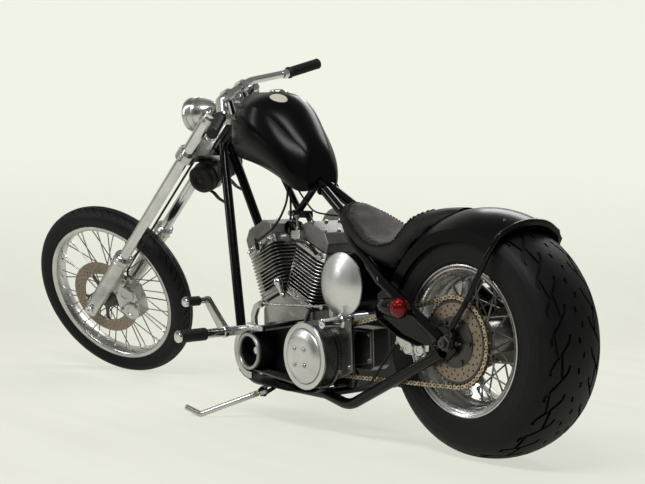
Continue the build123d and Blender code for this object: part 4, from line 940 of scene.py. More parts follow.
BLACK_RUBBER = rubber("black_rubber", (0.0065, 0.0065, 0.0065, 1), 0.50, 0.30)
for polished_node in ("fork_sliders", "triple_trees"):
    finish_node(polished_node, POLISHED)
for chrome_node in ("fork_tubes", "front_axle", "handlebar"):
    finish_node(chrome_node, CHROME)

LEG_Y = 0.130
SIDES = (1, -1)
seals, collars, leg_caps = [], [], []
for side in SIDES:
    foot = on_fork(TREE_OFFSET, side * LEG_Y, 0)
    seals.append(lathe([(0.300, 0.0206), (0.300, 0.0262), (0.3045, 0.0262), (0.3075, 0.0222), (0.3075, 0.0206)],
                       foot, UP_LEG, 40))
    for up in (0.2745, 0.2950):
        collars.append(lathe([(up - 0.0025, 0.031), (up - 0.002, 0.0342), (up + 0.002, 0.0342), (up + 0.0025, 0.031)],
                             foot, UP_LEG, 40))
    leg_caps.append(lathe([(1.068, 0), (1.068, 0.0225), (1.078, 0.0225), (1.081, 0.0195), (1.081, 0.010),
                           (1.088, 0.010), (1.088, 0)], foot, UP_LEG, 32))
piece_of("fork_dust_seals", seals, FORK, CHROME, "fork", "chrome")
piece_of("fork_slider_collars", collars, FORK, CHROME, "fork", "chrome")
piece_of("fork_leg_caps", leg_caps, FORK, CHROME, "fork", "chrome")
fork_screws = []
for side in SIDES:
    for up, reach in ((0.856, 0.0325), (0.870, 0.0325), (1.0495, 0.0295)):
        fork_screws.append((on_fork(TREE_OFFSET, side * (LEG_Y + reach), up), Vector((0, side, 0))))
    fork_screws.append((on_fork(TREE_OFFSET + 0.026, side * LEG_Y, -0.012), AHEAD))
    fork_screws.append((on_fork(TREE_OFFSET + 0.026, side * LEG_Y, 0.014), AHEAD))
screw_heads("fork_screws", fork_screws, 0.0052, 0.006, FORK, STEEL, "fork")
axle_ends = [lathe([(0.160, 0), (0.160, 0.0165), (0.168, 0.0165), (0.170, 0.0145), (0.170, 0.007), (0.165, 0.0065),
                    (0.165, 0)], FRONT_AXLE, (0, side, 0), 6) for side in SIDES]
piece_of("front_axle_nuts", axle_ends, FORK, CHROME, "fork", "chrome", crease=25, bevel=0.0008)

# The handlebar is a drag bar of chromed steel, swept back. Thick sleeves stand inside ribbed rubber grips.
BAR_END = Vector((1.035, 0.333, 1.030))
BAR_BEND = Vector((1.083, 0.209, 1.044))


def mirrored(point, side):
    return Vector((point[0], side * point[1], point[2]))


grip_rubber, grip_sleeves, bar_ends = [], [], []
for side in SIDES:
    end, bend = mirrored(BAR_END, side), mirrored(BAR_BEND, side)
    outward = (end - bend).normalized()
    profile = [(-0.128, 0.0128), (-0.128, 0.0200), (-0.122, 0.0205), (-0.120, 0.0185)]
    for rib in range(22):
        start = -0.118 + rib * 0.0050
        profile += [(start, 0.0168), (start + 0.0010, 0.0180), (start + 0.0034, 0.0180), (start + 0.0044, 0.0168)]
    profile += [(-0.006, 0.0182), (0.001, 0.0186), (0.005, 0.0165), (0.006, 0.010), (0.006, 0)]
    grip_rubber.append(lathe(profile, end, outward, 28))
    grip_sleeves.append(lathe([(-0.118, 0.0), (-0.118, 0.0150), (-0.150, 0.0150), (-0.152, 0.0132), (-0.152, 0.0)], end, outward, 28))
piece_of("grips", grip_rubber, FORK, BLACK_RUBBER, "fork", "rubber", ("grips",), crease=50)
piece_of("grip_sleeves", grip_sleeves, FORK, CHROME, "fork", "chrome")
riser_screws = []
for side in SIDES:
    for ahead in (-0.0135, 0.0135):
        riser_screws.append((Vector((1.161 + ahead, side * 0.0315, 1.064)), Vector((0, -side, 0))))
        riser_screws.append((Vector((1.161 + ahead, side * 0.0585, 1.064)), Vector((0, side, 0))))
screw_heads("riser_screws", riser_screws, 0.0046, 0.005, FORK, STEEL, "fork")

# The headlamp is a chromed bullet shell with a rolled seam and a clamping ring, a mirror bowl and a clear lens.
LAMP_AT = Vector((1.335, 0, 1.000))
shell_profile = [(-0.092, 0), (-0.091, 0.006), (-0.088, 0.016), (-0.077, 0.0275), (-0.062, 0.038), (-0.042, 0.0472),
                 (-0.020, 0.0535), (-0.012, 0.0552), (-0.010, 0.0572), (-0.006, 0.0572), (-0.004, 0.0556),
                 (0.010, 0.0572), (0.013, 0.0572), (0.014, 0.0590), (0.027, 0.0594), (0.031, 0.0575), (0.031, 0.0535),
                 (0.024, 0.0520)]
piece_of("headlamp", [lathe(shell_profile, LAMP_AT, (1, 0, 0), 64)], FORK, POLISHED, "fork", "polished", ("headlamp",))
bowl = lathe([(0.0245, 0.0525), (0.012, 0.047), (-0.004, 0.036), (-0.014, 0.022), (-0.018, 0.009), (-0.010, 0.0085),
              (0.004, 0.0075), (0.008, 0.005), (0.009, 0)], LAMP_AT, (1, 0, 0), 48)
piece_of("headlamp_bowl", [bowl], FORK, POLISHED, "fork", "polished")
lamp_foot = on_fork(TREE_OFFSET - 0.004, 0, 0.878)
lamp_top = Vector((LAMP_AT.x, 0, LAMP_AT.z - 0.055))
stalk = [swept([lamp_foot, lamp_foot.lerp(lamp_top, 0.5), lamp_top], 0.0088, 20),
         lathe(capped([(-0.012, 0.0155), (0, 0.0155), (0.003, 0.012)]), lamp_top, lamp_top - lamp_foot, 24),
         lathe(capped([(0, 0.0170), (0.012, 0.0170), (0.015, 0.0135)]), lamp_foot, lamp_top - lamp_foot, 6)]
piece_of("headlamp_stalk", stalk, FORK, CHROME, "fork", "chrome")


def glass(name, color, roughness=0.04, transmission=1.0):
    """Moulded lamp glass, a little uneven and with faint dust."""
    material = bpy.data.materials.new(name)
    material.use_nodes = True
    tree = material.node_tree
    add = node_maker(tree)
    shader = tree.nodes["Principled BSDF"]
    place = add("ShaderNodeTexCoord").outputs["Object"]
    dust = add("ShaderNodeTexNoise", {"Vector": place, "Scale": 60.0, "Detail": 4.0})
    dull = add("ShaderNodeMapRange", {"Value": dust.outputs["Fac"], "To Min": roughness, "To Max": roughness + 0.14})
    tree.links.new(dull.outputs[0], shader.inputs["Roughness"])
    waves = add("ShaderNodeTexNoise", {"Vector": place, "Scale": 35.0})
    relief = add("ShaderNodeBump", {"Height": waves.outputs["Fac"], "Strength": 0.08, "Distance": 0.001})
    tree.links.new(relief.outputs[0], shader.inputs["Normal"])
    shader.inputs["Base Color"].default_value = color
    shader.inputs["Transmission Weight"].default_value = transmission
    shader.inputs["IOR"].default_value = 1.45
    return material


CLEAR_GLASS = glass("clear_glass", (0.96, 0.97, 0.97, 1))
lens = lathe([(0.0250, 0), (0.0250, 0.0522), (0.0285, 0.0530), (0.0345, 0.0470), (0.0385, 0.0330), (0.0402, 0.0160),
              (0.0408, 0)], LAMP_AT, (1, 0, 0), 48)
piece_of("headlamp_lens", [lens], FORK, CLEAR_GLASS, "fork", "clear_glass")


# The tool roll is soft black leather rolled round its tools, tied under the lower tree by two straps.
def leather(name, color, worn, roughness=0.5, grain=260.0):
    """Tanned hide: pebbled cells with fine creases, darkened in the creases as painted shade, rubbed lighter and
    smoother in patches.
    """
    material = bpy.data.materials.new(name)
    material.use_nodes = True
    tree = material.node_tree
    add = node_maker(tree)
    shader = tree.nodes["Principled BSDF"]
    place = add("ShaderNodeTexCoord").outputs["Object"]
    cells = add("ShaderNodeTexVoronoi", {"Vector": place, "Scale": grain}, feature="DISTANCE_TO_EDGE")
    creases = add("ShaderNodeMath", {0: cells.outputs["Distance"], 1: 6.0}, operation="MULTIPLY", use_clamp=True)
    rubbed = add("ShaderNodeTexNoise", {"Vector": place, "Scale": 7.0, "Detail": 7.0, "Roughness": 0.7})
    tone = add("ShaderNodeValToRGB", {"Fac": rubbed.outputs["Fac"]})
    tone.color_ramp.elements[0].position = 0.36
    tone.color_ramp.elements[0].color = color
    tone.color_ramp.elements[1].position = 0.70
    tone.color_ramp.elements[1].color = worn
    # Painted shade: the creases between the cells are darkened to about a third.
    crease_shade = add("ShaderNodeMix", {0: creases.outputs[0], 6: (0.35, 0.35, 0.35, 1), 7: (1, 1, 1, 1)}, data_type="RGBA")
    both = add("ShaderNodeMix", {0: 1.0, 6: tone.outputs[0], 7: crease_shade.outputs[2]}, data_type="RGBA",
               blend_type="MULTIPLY")
    tree.links.new(both.outputs[2], shader.inputs["Base Color"])
    dull = add("ShaderNodeMapRange", {"Value": rubbed.outputs["Fac"], "From Min": 0.3, "From Max": 0.7,
                                      "To Min": roughness + 0.12, "To Max": roughness - 0.1})
    tree.links.new(dull.outputs[0], shader.inputs["Roughness"])
    shader.inputs["Specular IOR Level"].default_value = 0.22
    hills = add("ShaderNodeMath", {0: rubbed.outputs["Fac"], 1: 0.7, 2: creases.outputs[0]}, operation="MULTIPLY_ADD")
    relief = add("ShaderNodeBump", {"Height": hills.outputs[0], "Strength": 0.35, "Distance": 0.0006})
    tree.links.new(relief.outputs[0], shader.inputs["Normal"])
    return material


BLACK_LEATHER = leather("black_leather", (0.0065, 0.0062, 0.0062, 1), (0.018, 0.0165, 0.016, 1), 0.50, 330.0)
ROLL_AT = on_fork(-0.026, 0, 0.794)
ROLL_LENGTH = 0.202


def wavy(shape, depth, scale, keep=None):
    """Moves points in and out softly, as a hide bulges over what it holds."""
    points, faces = shape
    moved_points = []
    for p in points:
        bulge = (math.sin(p[0] * scale + 1.3) * math.sin(p[1] * scale * 0.8 + 0.4) * math.sin(p[2] * scale * 1.1)
                 + 0.5 * math.sin(p[1] * scale * 2.3 + p[2] * scale * 1.7))
        centre = Vector((ROLL_AT.x, p[1], ROLL_AT.z))
        out = Vector(p) - centre
        moved_points.append(Vector(p) + out.normalized() * depth * bulge if out.length > 0.01 else Vector(p))
    return moved_points, faces


roll_profile = [(-0.101, 0), (-0.101, 0.010), (-0.098, 0.0115), (-0.0975, 0.020), (-0.1005, 0.0215), (-0.0985, 0.030),
                (-0.1015, 0.032), (-0.1000, 0.043), (-0.0960, 0.0480), (-0.085, 0.0495)]
for step in range(1, 16):
    roll_profile.append((-0.085 + 0.17 * step / 16, 0.0495 + 0.0008 * math.sin(step * 1.9)))
roll_profile += [(-y, r) for y, r in reversed(roll_profile[:10])]
tool_roll = piece_of("tool_roll", [wavy(lathe(roll_profile, ROLL_AT, (0, 1, 0), 56), 0.0011, 70)], FORK,
                     BLACK_LEATHER, "fork", "black_leather", ("tool_roll",), crease=60)
straps = []
for y in (-0.055, 0.055):
    band = [(y - 0.009, 0.0500), (y - 0.009, 0.0528), (y + 0.009, 0.0528), (y + 0.009, 0.0500), (y - 0.009, 0.0500)]
    straps.append(lathe(band, ROLL_AT, (0, 1, 0), 56))
    tail = [ROLL_AT + Vector((0.020, y, -0.050)), ROLL_AT + Vector((-0.004, y + 0.001, -0.064)),
            ROLL_AT + Vector((-0.020, y + 0.003, -0.086)), ROLL_AT + Vector((-0.042, y + 0.005, -0.101))]
    for a, b in zip(eased(tail, 4), eased(tail, 4)[1:]):
        half, thick = Vector((0, 0.008, 0)), Vector((0.0016, 0, 0.0010))
        corners = [a - half - thick, a + half - thick, a + half + thick, a - half + thick]
        corners += [p + b - a for p in corners]
        straps.append((corners, [(0, 1, 2, 3), (7, 6, 5, 4), (0, 4, 5, 1), (1, 5, 6, 2), (2, 6, 7, 3), (3, 7, 4, 0)]))
flap = [(0.101 * s, 0.0460) for s in (-1, 1)]
straps.append(swept([ROLL_AT + Vector((-0.036, y, -0.0345)) for y in (-0.099, -0.05, 0, 0.05, 0.099)], 0.0016, 8))
piece_of("tool_roll_straps", straps, FORK, BLACK_LEATHER, "fork", "black_leather", crease=40)
buckles = []
for y in (-0.055, 0.055):
    frame_points = [(0.012, -0.0115), (0.012, 0.0115), (-0.012, 0.0115), (-0.012, -0.0115)]
    middle = ROLL_AT + Vector((-0.0425, y, -0.0335))
    across_buckle = Vector((0.62, 0, -0.785))
    loop = [middle + across_buckle * u + Vector((0, v, 0)) for u, v in frame_points]
    buckles.append(swept(loop, 0.0018, 6, closed=True))
    buckles.append(swept([middle + Vector((0, 0, 0)) + across_buckle * 0.012, middle - across_buckle * 0.012], 0.0013, 6))
piece_of("tool_roll_buckles", buckles, FORK, STEEL, "fork", "steel")

# The front caliper is two polished aluminium halves bolted over the disc, with a round lobe over each piston.
finish_node("front_caliper", POLISHED)
finish_node("front_brake_hose", BLACK_RUBBER)
FRONT_CALIPER_AT = Vector((1.884, 0, 0.337))
lobes = []
for dx, dz in ((-0.020, 0.034), (-0.022, -0.036)):
    spot = FRONT_CALIPER_AT + Vector((dx, 0.092, dz))
    lobes.append(lathe([(-0.004, 0.034), (0.006, 0.034), (0.010, 0.0305), (0.010, 0.016), (0.0075, 0.0145),
                        (0.0075, 0)], spot, (0, 1, 0), 40))
piece_of("front_caliper_lobes", lobes, FORK, POLISHED, "fork", "polished")
caliper_screws = [(FRONT_CALIPER_AT + Vector((dx, 0.092, dz)), (0, 1, 0))
                  for dx, dz in ((-0.053, 0.040), (-0.056, -0.004), (-0.048, -0.056), (0.022, -0.026), (0.018, 0.040))]
caliper_screws += [(FRONT_CALIPER_AT + Vector((dx, 0.106, dz)), (0, 1, 0)) for dx, dz in ((-0.040, 0.088), (0.0, 0.112))]
screw_heads("front_caliper_screws", caliper_screws, 0.0062, 0.006, FORK, STEEL, "fork")
hose_foot = FRONT_CALIPER_AT + Vector((-0.036, 0.072, 0.060))
piece_of("front_hose_fitting", [lathe(capped([(0, 0.0075), (0.016, 0.0075), (0.018, 0.0058), (0.030, 0.0055)]),
                                      hose_foot, (-0.16, 0, 1), 12)], FORK, GOLD, "fork", "gold", crease=30)


# The frame is welded from 32 mm steel tube and painted gloss black. The rear axle is clamped between two plates.
def paint(name, color, low, high, gloss, dust=1.6):
    """Sprayed paint: a slight orange-peel relief, dust that lifts it in patches, and rubbed places."""
    material = bpy.data.materials.new(name)
    material.use_nodes = True
    tree = material.node_tree
    add = node_maker(tree)
    shader = tree.nodes["Principled BSDF"]
    place = add("ShaderNodeTexCoord").outputs["Object"]
    patches = add("ShaderNodeTexNoise", {"Vector": place, "Scale": 6.0, "Detail": 8.0, "Roughness": 0.7})
    tone = add("ShaderNodeValToRGB", {"Fac": patches.outputs["Fac"]})
    tone.color_ramp.elements[0].position = 0.42
    tone.color_ramp.elements[0].color = color
    tone.color_ramp.elements[1].position = 0.82
    tone.color_ramp.elements[1].color = tuple(c * dust for c in color[:3]) + (1,)
    tree.links.new(tone.outputs[0], shader.inputs["Base Color"])
    dull = add("ShaderNodeMapRange", {"Value": patches.outputs["Fac"], "From Min": 0.3, "From Max": 0.7, "To Min": low,
                                      "To Max": high})
    tree.links.new(dull.outputs[0], shader.inputs["Roughness"])
    peel = add("ShaderNodeTexNoise", {"Vector": place, "Scale": 420.0, "Detail": 1.0})
    skin = add("ShaderNodeBump", {"Height": peel.outputs["Fac"], "Strength": 0.05, "Distance": 0.0003})
    tree.links.new(skin.outputs[0], shader.inputs["Normal"])
    shader.inputs["Specular IOR Level"].default_value = gloss
    return material


SATIN_BLACK = paint("satin_black", (0.0026, 0.0024, 0.0030, 1), 0.20, 0.28, 0.12)
GLOSS_BLACK = paint("gloss_black", (0.0026, 0.0026, 0.0028, 1), 0.06, 0.14, 0.24)
BLACK_PART = paint("black_part", (0.0050, 0.0050, 0.0053, 1), 0.30, 0.46, 0.18, 2.4)
for frame_node in ("frame_backbone", "frame_cradle", "frame_rear_rails"):
    finish_node(frame_node, GLOSS_BLACK)
finish_node("rear_brake_hose", BLACK_RUBBER)

PLATE_FACE_Y = 0.161
nuts, washers = [], []
for side in SIDES:
    direction = (0, side, 0)
    nuts.append(lathe([(PLATE_FACE_Y + 0.003, 0), (PLATE_FACE_Y + 0.003, 0.0212), (PLATE_FACE_Y + 0.0135, 0.0212),
                       (PLATE_FACE_Y + 0.015, 0.0190), (PLATE_FACE_Y + 0.015, 0)], REAR_AXLE, direction, 6))
    washers.append(lathe([(PLATE_FACE_Y, 0), (PLATE_FACE_Y, 0.0235), (PLATE_FACE_Y + 0.003, 0.0235),
                          (PLATE_FACE_Y + 0.003, 0)], REAR_AXLE, direction, 40))
    washers.append(lathe([(PLATE_FACE_Y + 0.014, 0), (PLATE_FACE_Y + 0.014, 0.0125), (PLATE_FACE_Y + 0.0245, 0.0125),
                          (PLATE_FACE_Y + 0.025, 0.0118), (PLATE_FACE_Y + 0.025, 0.004), (PLATE_FACE_Y + 0.022, 0.003),
                          (PLATE_FACE_Y + 0.022, 0)], REAR_AXLE, direction, 32))
shaft = lathe(capped([(-0.165, 0.0125), (0.165, 0.0125)]), REAR_AXLE, (0, 1, 0), 32)
piece_of("rear_axle", nuts + [shaft], BIKE, DARK_STEEL, "frame", "steel", ("rear_axle",), crease=25)
piece_of("rear_axle_washers", washers, BIKE, DARK_STEEL, "frame", "steel")
plate_screws = [((x, side * PLATE_FACE_Y, z), (0, side, 0)) for side in SIDES
                for x, z in ((0.052, 0.332), (-0.018, 0.350))]
screw_heads("axle_plate_screws", plate_screws, 0.0055, 0.0045, BIKE, DARK_STEEL, "frame", shape=HEX_HEAD_UNIT, crease=25)
flanges = []
for side in SIDES:
    lip = [(0.046, 0.3195), (0.108, 0.3105), (0.191, 0.3315), (0.274, 0.3725), (0.282, 0.405)]
    inner_lip = [(x - 0.0010, z + 0.0030) for x, z in lip]
    for i in range(len(lip) - 1):
        outline = [lip[i], lip[i + 1], inner_lip[i + 1], inner_lip[i]]
        flanges.append(slab(outline, min(side * 0.159, side * 0.174), max(side * 0.159, side * 0.174)))
piece_of("gusset_flanges", flanges, BIKE, GLOSS_BLACK, "frame", "black_tube", crease=25)
slots, adjusters = [], []
for side in SIDES:
    y = side * (PLATE_FACE_Y + 0.0002)
    # Painted shade: a thin black strip on each plate's face stands for the dark opening of its slot.
    slots.append(block(-0.020, 0.040, min(y, y + side * 0.0008), max(y, y + side * 0.0008), 0.3505, 0.3555))
    start = Vector((-0.028, side * 0.1555, REAR_RADIUS))
    adjusters.append(swept([start, start + Vector((-0.020, 0, 0))], 0.0036, 10))
    adjusters.append(lathe(capped([(0, 0.0075), (0.006, 0.0075)]), start + Vector((-0.002, 0, 0)), (-1, 0, 0), 6))
piece_of("axle_plate_slots", slots, BIKE, BLACK_PART, "frame", "black_part")
piece_of("chain_adjusters", adjusters, BIKE, DARK_STEEL, "frame", "steel", crease=25)


def weld_bead(points, radius=0.0035):
    """A bead of weld round a joint, in ripples."""
    line = [Vector(p) for p in points]
    swollen = [radius * (1 + 0.22 * math.sin(i * 2.1)) for i in range(len(line))]
    return swept(line, swollen, 8, closed=True)


def round_bar(at, along, radius, count=36):
    direction, first, second = square_to(along)
    return [Vector(at) + (first * math.cos(math.tau * i / count) + second * math.sin(math.tau * i / count)) * radius
            for i in range(count)]


welds = []
for side in SIDES:
    for at, along, radius in (((0.978 + 0.006, side * 0.1295, 0.150), (0.278, -side * 0.118, 0.757), 0.0163),
                              ((0.030, side * 0.160, 0.312), (0.405, -side * 0.006, -0.194), 0.0163),
                              ((0.700, side * 0.022, 0.730), (0.127, -side * 0.020, 0.076), 0.0163)):
        welds.append(weld_bead(round_bar(at, along, radius)))
for x in (0.930, 0.700, 0.548):
    for side in SIDES:
        welds.append(weld_bead(round_bar((x, side * 0.124, 0.127), (0, 1, 0), 0.0123), 0.0028))
for x, z in ((0.749, 0.752), (0.985, 0.838)):
    down = Vector((0.852, 0, 0.662)) - Vector((x, 0, z))
    welds.append(weld_bead(round_bar(Vector((x, 0, z)) + down * 0.14, down, 0.0113), 0.003))
piece_of("frame_welds", welds, BIKE, GLOSS_BLACK, "frame", "black_tube")

# The fuel tank is pressed steel in satin black. A blank oval of cream enamel is let into each upper side, and the
# filler is a chromed screw cap.
finish_node("fuel_tank", SATIN_BLACK)
CREAM = paint("cream_enamel", (0.62, 0.60, 0.50, 1), 0.16, 0.30, 0.5, 0.86)
cap_profile = [(0.0, 0.0305), (0.006, 0.0305), (0.0075, 0.0290), (0.0100, 0.0285), (0.0125, 0.0255), (0.0140, 0.018),
               (0.0146, 0.009), (0.0148, 0)]
piece_of("filler_cap", [lathe([(-0.014, 0), (-0.014, 0.0298)] + cap_profile, (0.950, 0, 1.039), (0, 0, 1), 64)], BIKE,
         CHROME, "frame", "chrome", ("filler_cap",))
knurl = lathe(capped([(-0.0028, 0.0011), (0.0028, 0.0011)]), (0, 0, 0), (0, 0, 1), 6)
repeated("filler_cap_knurls", [knurl],
         [Matrix.Translation(Vector((0.950 + 0.0305 * math.cos(math.tau * i / 48), 0.0305 * math.sin(math.tau * i / 48),
                                     1.042))) for i in range(48)], BIKE, CHROME, "frame", "chrome", crease=30)


def surface_of(node):
    """The CAD node's surface, on the upright bike, to lay a thing on."""
    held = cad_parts[node]
    back = BIKE.inverted()
    points = [back @ (held.matrix_world @ v.co) for v in held.data.vertices]
    return BVHTree.FromPolygons(points, [tuple(face.vertices) for face in held.data.polygons])


TANK_SURFACE = surface_of("fuel_tank")


def oval_on_tank(centre, toward, along, half_long, half_short, proud, rings=8, segments=48):
    """An oval plate that follows the tank's surface."""
    toward = Vector(toward).normalized()
    along = (Vector(along) - toward * Vector(along).dot(toward)).normalized()
    across_it = toward.cross(along)
    points, faces = [], []
    for ring_index in range(rings + 1):
        share = ring_index / rings
        for k in range(segments):
            turn = math.tau * k / segments
            start = (Vector(centre) + along * half_long * share * math.cos(turn)
                     + across_it * half_short * share * math.sin(turn) + toward * 0.08)
            hit, normal, _, _ = TANK_SURFACE.ray_cast(start, -toward)
            points.append(hit + toward * (proud if ring_index < rings else -0.001))
    for ring_index in range(rings):
        for k in range(segments):
            a, b = ring_index * segments + k, ring_index * segments + (k + 1) % segments
            faces.append((a, b, b + segments, a + segments))
    return points, faces


MEDAL_AT = (0.888, 0.044, 1.0173)
ovals, rims = [], []
for side in SIDES:
    toward = (0, side * 0.55, 1)
    ovals.append(oval_on_tank(mirrored(MEDAL_AT, side), toward, (1, 0, -0.12), 0.0335, 0.0225, 0.0012))
    rims.append(oval_on_tank(mirrored(MEDAL_AT, side), toward, (1, 0, -0.12), 0.0352, 0.0242, 0.0007))
piece_of("tank_ovals", ovals, BIKE, CREAM, "frame", "cream", crease=60)
piece_of("tank_oval_rims", rims, BIKE, BLACK_PART, "frame", "black_part", crease=60)


# The saddle is a steel pan under black leather skirts, with a dished panel of brown leather laced round its edge
# with a black thong, and a thin black tail that rises over the fender.
SEAT_SECTIONS = [
    # x, bottom z, bottom half width, widest z, half width, shoulder z, shoulder half width, top z
    (0.588, 0.668, 0.022, 0.676, 0.034, 0.684, 0.024, 0.688),
    (0.556, 0.642, 0.050, 0.656, 0.066, 0.676, 0.050, 0.687),
    (0.515, 0.612, 0.074, 0.630, 0.094, 0.652, 0.082, 0.660),
    (0.465, 0.586, 0.092, 0.602, 0.113, 0.624, 0.101, 0.630),
    (0.405, 0.556, 0.106, 0.570, 0.127, 0.590, 0.117, 0.593),
    (0.340, 0.530, 0.114, 0.548, 0.130, 0.574, 0.119, 0.575),
    (0.272, 0.512, 0.112, 0.542, 0.128, 0.585, 0.115, 0.587),
    (0.222, 0.528, 0.108, 0.586, 0.120, 0.650, 0.086, 0.664),
    (0.178, 0.565, 0.096, 0.620, 0.108, 0.666, 0.066, 0.678),
    (0.120, 0.612, 0.062, 0.648, 0.070, 0.676, 0.044, 0.682),
    (0.084, 0.645, 0.034, 0.664, 0.040, 0.678, 0.026, 0.682),
]
BROWN_LEATHER = leather("brown_leather", (0.034, 0.025, 0.021, 1), (0.066, 0.051, 0.043, 1), 0.60, 300.0)


def seat_at(x):
    """The saddle's section at x, run smoothly through the given ones."""
    rows = SEAT_SECTIONS
    x = min(max(x, rows[-1][0]), rows[0][0])
    i = 0
    while i < len(rows) - 2 and rows[i + 1][0] > x:
        i += 1
    t = (rows[i][0] - x) / (rows[i][0] - rows[i + 1][0])
    before, after = rows[max(i - 1, 0)], rows[min(i + 2, len(rows) - 1)]
    values = []
    for a, b, c, d in zip(before[1:], rows[i][1:], rows[i + 1][1:], after[1:]):
        smooth = 0.5 * (2 * b + (c - a) * t + (2 * a - 5 * b + 4 * c - d) * t * t + (3 * b - a - 3 * c + d) * t ** 3)
        values.append(0.5 * smooth + 0.5 * (b + (c - b) * t))
    return values


def off_the_fender(point, gap=0.0015):
    """Pushes a point out to the fender's surface where it would be inside."""
    y = abs(point.y)
    if y > 0.1275:
        return point
    radius = 0.356 - 0.174 + math.sqrt(0.174 ** 2 - min(y, 0.126) ** 2) + gap
    out = Vector((point.x, 0, point.z - REAR_RADIUS))
    if out.length >= radius:
        return point
    out = out.normalized() * radius
    return Vector((out.x, point.y, REAR_RADIUS + out.z))


def bowed(a, b, c, steps):
    """Points of a bow from a through b to c."""
    line = []
    for step in range(steps):
        t = step / steps
        control = Vector(b) * 2 - (Vector(a) + Vector(c)) * 0.5
        line.append(Vector(a) * (1 - t) ** 2 + control * 2 * t * (1 - t) + Vector(c) * t * t)
    return line


def seat_ring(x):
    bottom_z, bottom_half, wide_z, half, shoulder_z, shoulder_half, top_z = seat_at(x)
    roof_dip = 0.004 * min(1, max(0, (0.55 - x) / 0.1)) * min(1, max(0, (x - 0.22) / 0.06))
    ring_points = [Vector((bottom_half * (k / 3 - 1), bottom_z)) for k in range(6)]
    ring_points += bowed((bottom_half, bottom_z), (half, wide_z), (shoulder_half, shoulder_z), 7)
    ring_points += bowed((shoulder_half, shoulder_z), (0, top_z - roof_dip), (-shoulder_half, shoulder_z), 14)
    ring_points += bowed((-shoulder_half, shoulder_z), (-half, wide_z), (-bottom_half, bottom_z), 7)
    return [off_the_fender(Vector((x, p.x, p.y))) for p in ring_points]


def lofted_rings(rings):
    count = len(rings[0])
    points = [p for ring_points in rings for p in ring_points]
    faces = []
    for row in range(len(rings) - 1):
        for k in range(count):
            a, b = row * count + k, row * count + (k + 1) % count
            faces.append((a, b, b + count, a + count))
    faces += [tuple(range(count - 1, -1, -1)), tuple((len(rings) - 1) * count + k for k in range(count))]
    return points, faces


seat_x = [0.588 - (0.588 - 0.084) * i / 64 for i in range(65)]
seat_skirt = piece_of("seat", [lofted_rings([seat_ring(x) for x in seat_x])], BIKE, BLACK_LEATHER, "frame",
                      "black_leather", ("seat",), crease=60)

PANEL_FRONT, PANEL_BACK = 0.572, 0.200


def panel_edge(x):
    """Half width of the brown panel: it rounds off at both ends."""
    shoulder_half = seat_at(x)[5]
    end = min((PANEL_FRONT - x) / 0.05, (x - PANEL_BACK) / 0.022, 1)
    return (shoulder_half - 0.001) * math.sqrt(max(0.0, 1 - (1 - max(end, 0)) ** 2))


def on_roof(x, share, up):
    """A point of the saddle's top, moved up square to it."""
    shoulder_z, shoulder_half, top_z = seat_at(x)[4:]
    y = panel_edge(x) * share
    rise = 1 - (y / shoulder_half) ** 2
    ahead, behind = seat_at(min(x + 0.004, 0.588)), seat_at(max(x - 0.004, 0.084))
    slope = (ahead[6] - behind[6]) / 0.008
    tilt = Vector((-slope, 0, 1)).normalized()
    point = Vector((x, y, shoulder_z + (top_z - shoulder_z) * rise))
    point.z -= 0.004 * rise * min(1, max(0, (0.55 - x) / 0.1)) * min(1, max(0, (x - 0.22) / 0.06))
    return point + tilt * up


def padded_panel():
    """The brown panel as a thin closed cushion, which a short cloth simulation swells against its laced edge."""
    columns, rows = 60, 24
    points, faces = [], []
    for top in (True, False):
        for i in range(columns + 1):
            x = PANEL_FRONT + (PANEL_BACK - PANEL_FRONT) * i / columns
            x = min(max(x, PANEL_BACK + 0.0006), PANEL_FRONT - 0.0006)
            for k in range(rows + 1):
                share = 2 * k / rows - 1
                edge = math.sqrt(max(0.0, 1 - abs(share) ** 6))
                points.append(on_roof(x, share, 0.0045 * edge + 0.0008 if top else -0.0030))
    layer = (columns + 1) * (rows + 1)
    for i in range(columns):
        for k in range(rows):
            a = i * (rows + 1) + k
            faces.append((a, a + 1, a + rows + 2, a + rows + 1))
            faces.append((a + layer + rows + 1, a + layer + rows + 2, a + layer + 1, a + layer))
    for i in range(columns):
        for k in (0, rows):
            a = i * (rows + 1) + k
            faces.append((a, a + rows + 1, a + layer + rows + 1, a + layer))
    for k in range(rows):
        for i in (0, columns):
            a = i * (rows + 1) + k
            faces.append((a, a + layer, a + layer + 1, a + 1))
    return mesh_object("seat_panel", points, faces, BIKE, 80, merge=0.0004)


def swelled(piece, voxel, pressure, cap):
    """Cloth simulation on a remeshed copy: the pad swells a little, and no point moves further than the cap."""
    remesh = piece.modifiers.new("remesh", "REMESH")
    remesh.mode = "VOXEL"
    remesh.voxel_size = voxel
    flattened(piece)
    start = [v.co.copy() for v in piece.data.vertices]
    cloth = piece.modifiers.new("cloth", "CLOTH")
    cloth.settings.use_pressure = True
    cloth.settings.uniform_pressure_force = pressure
    cloth.settings.effector_weights.gravity = 0
    scene = bpy.context.scene
    for step in range(1, 21):
        scene.frame_set(step)
    flattened(piece)
    scene.frame_set(1)
    for vertex, home in zip(piece.data.vertices, start):
        shift = vertex.co - home
        if shift.length > cap:
            vertex.co = home + shift.normalized() * cap
    smooth = piece.modifiers.new("smooth", "SUBSURF")
    smooth.levels = smooth.render_levels = 1
    flattened(piece)
    for face in piece.data.polygons:
        face.use_smooth = True
    return piece


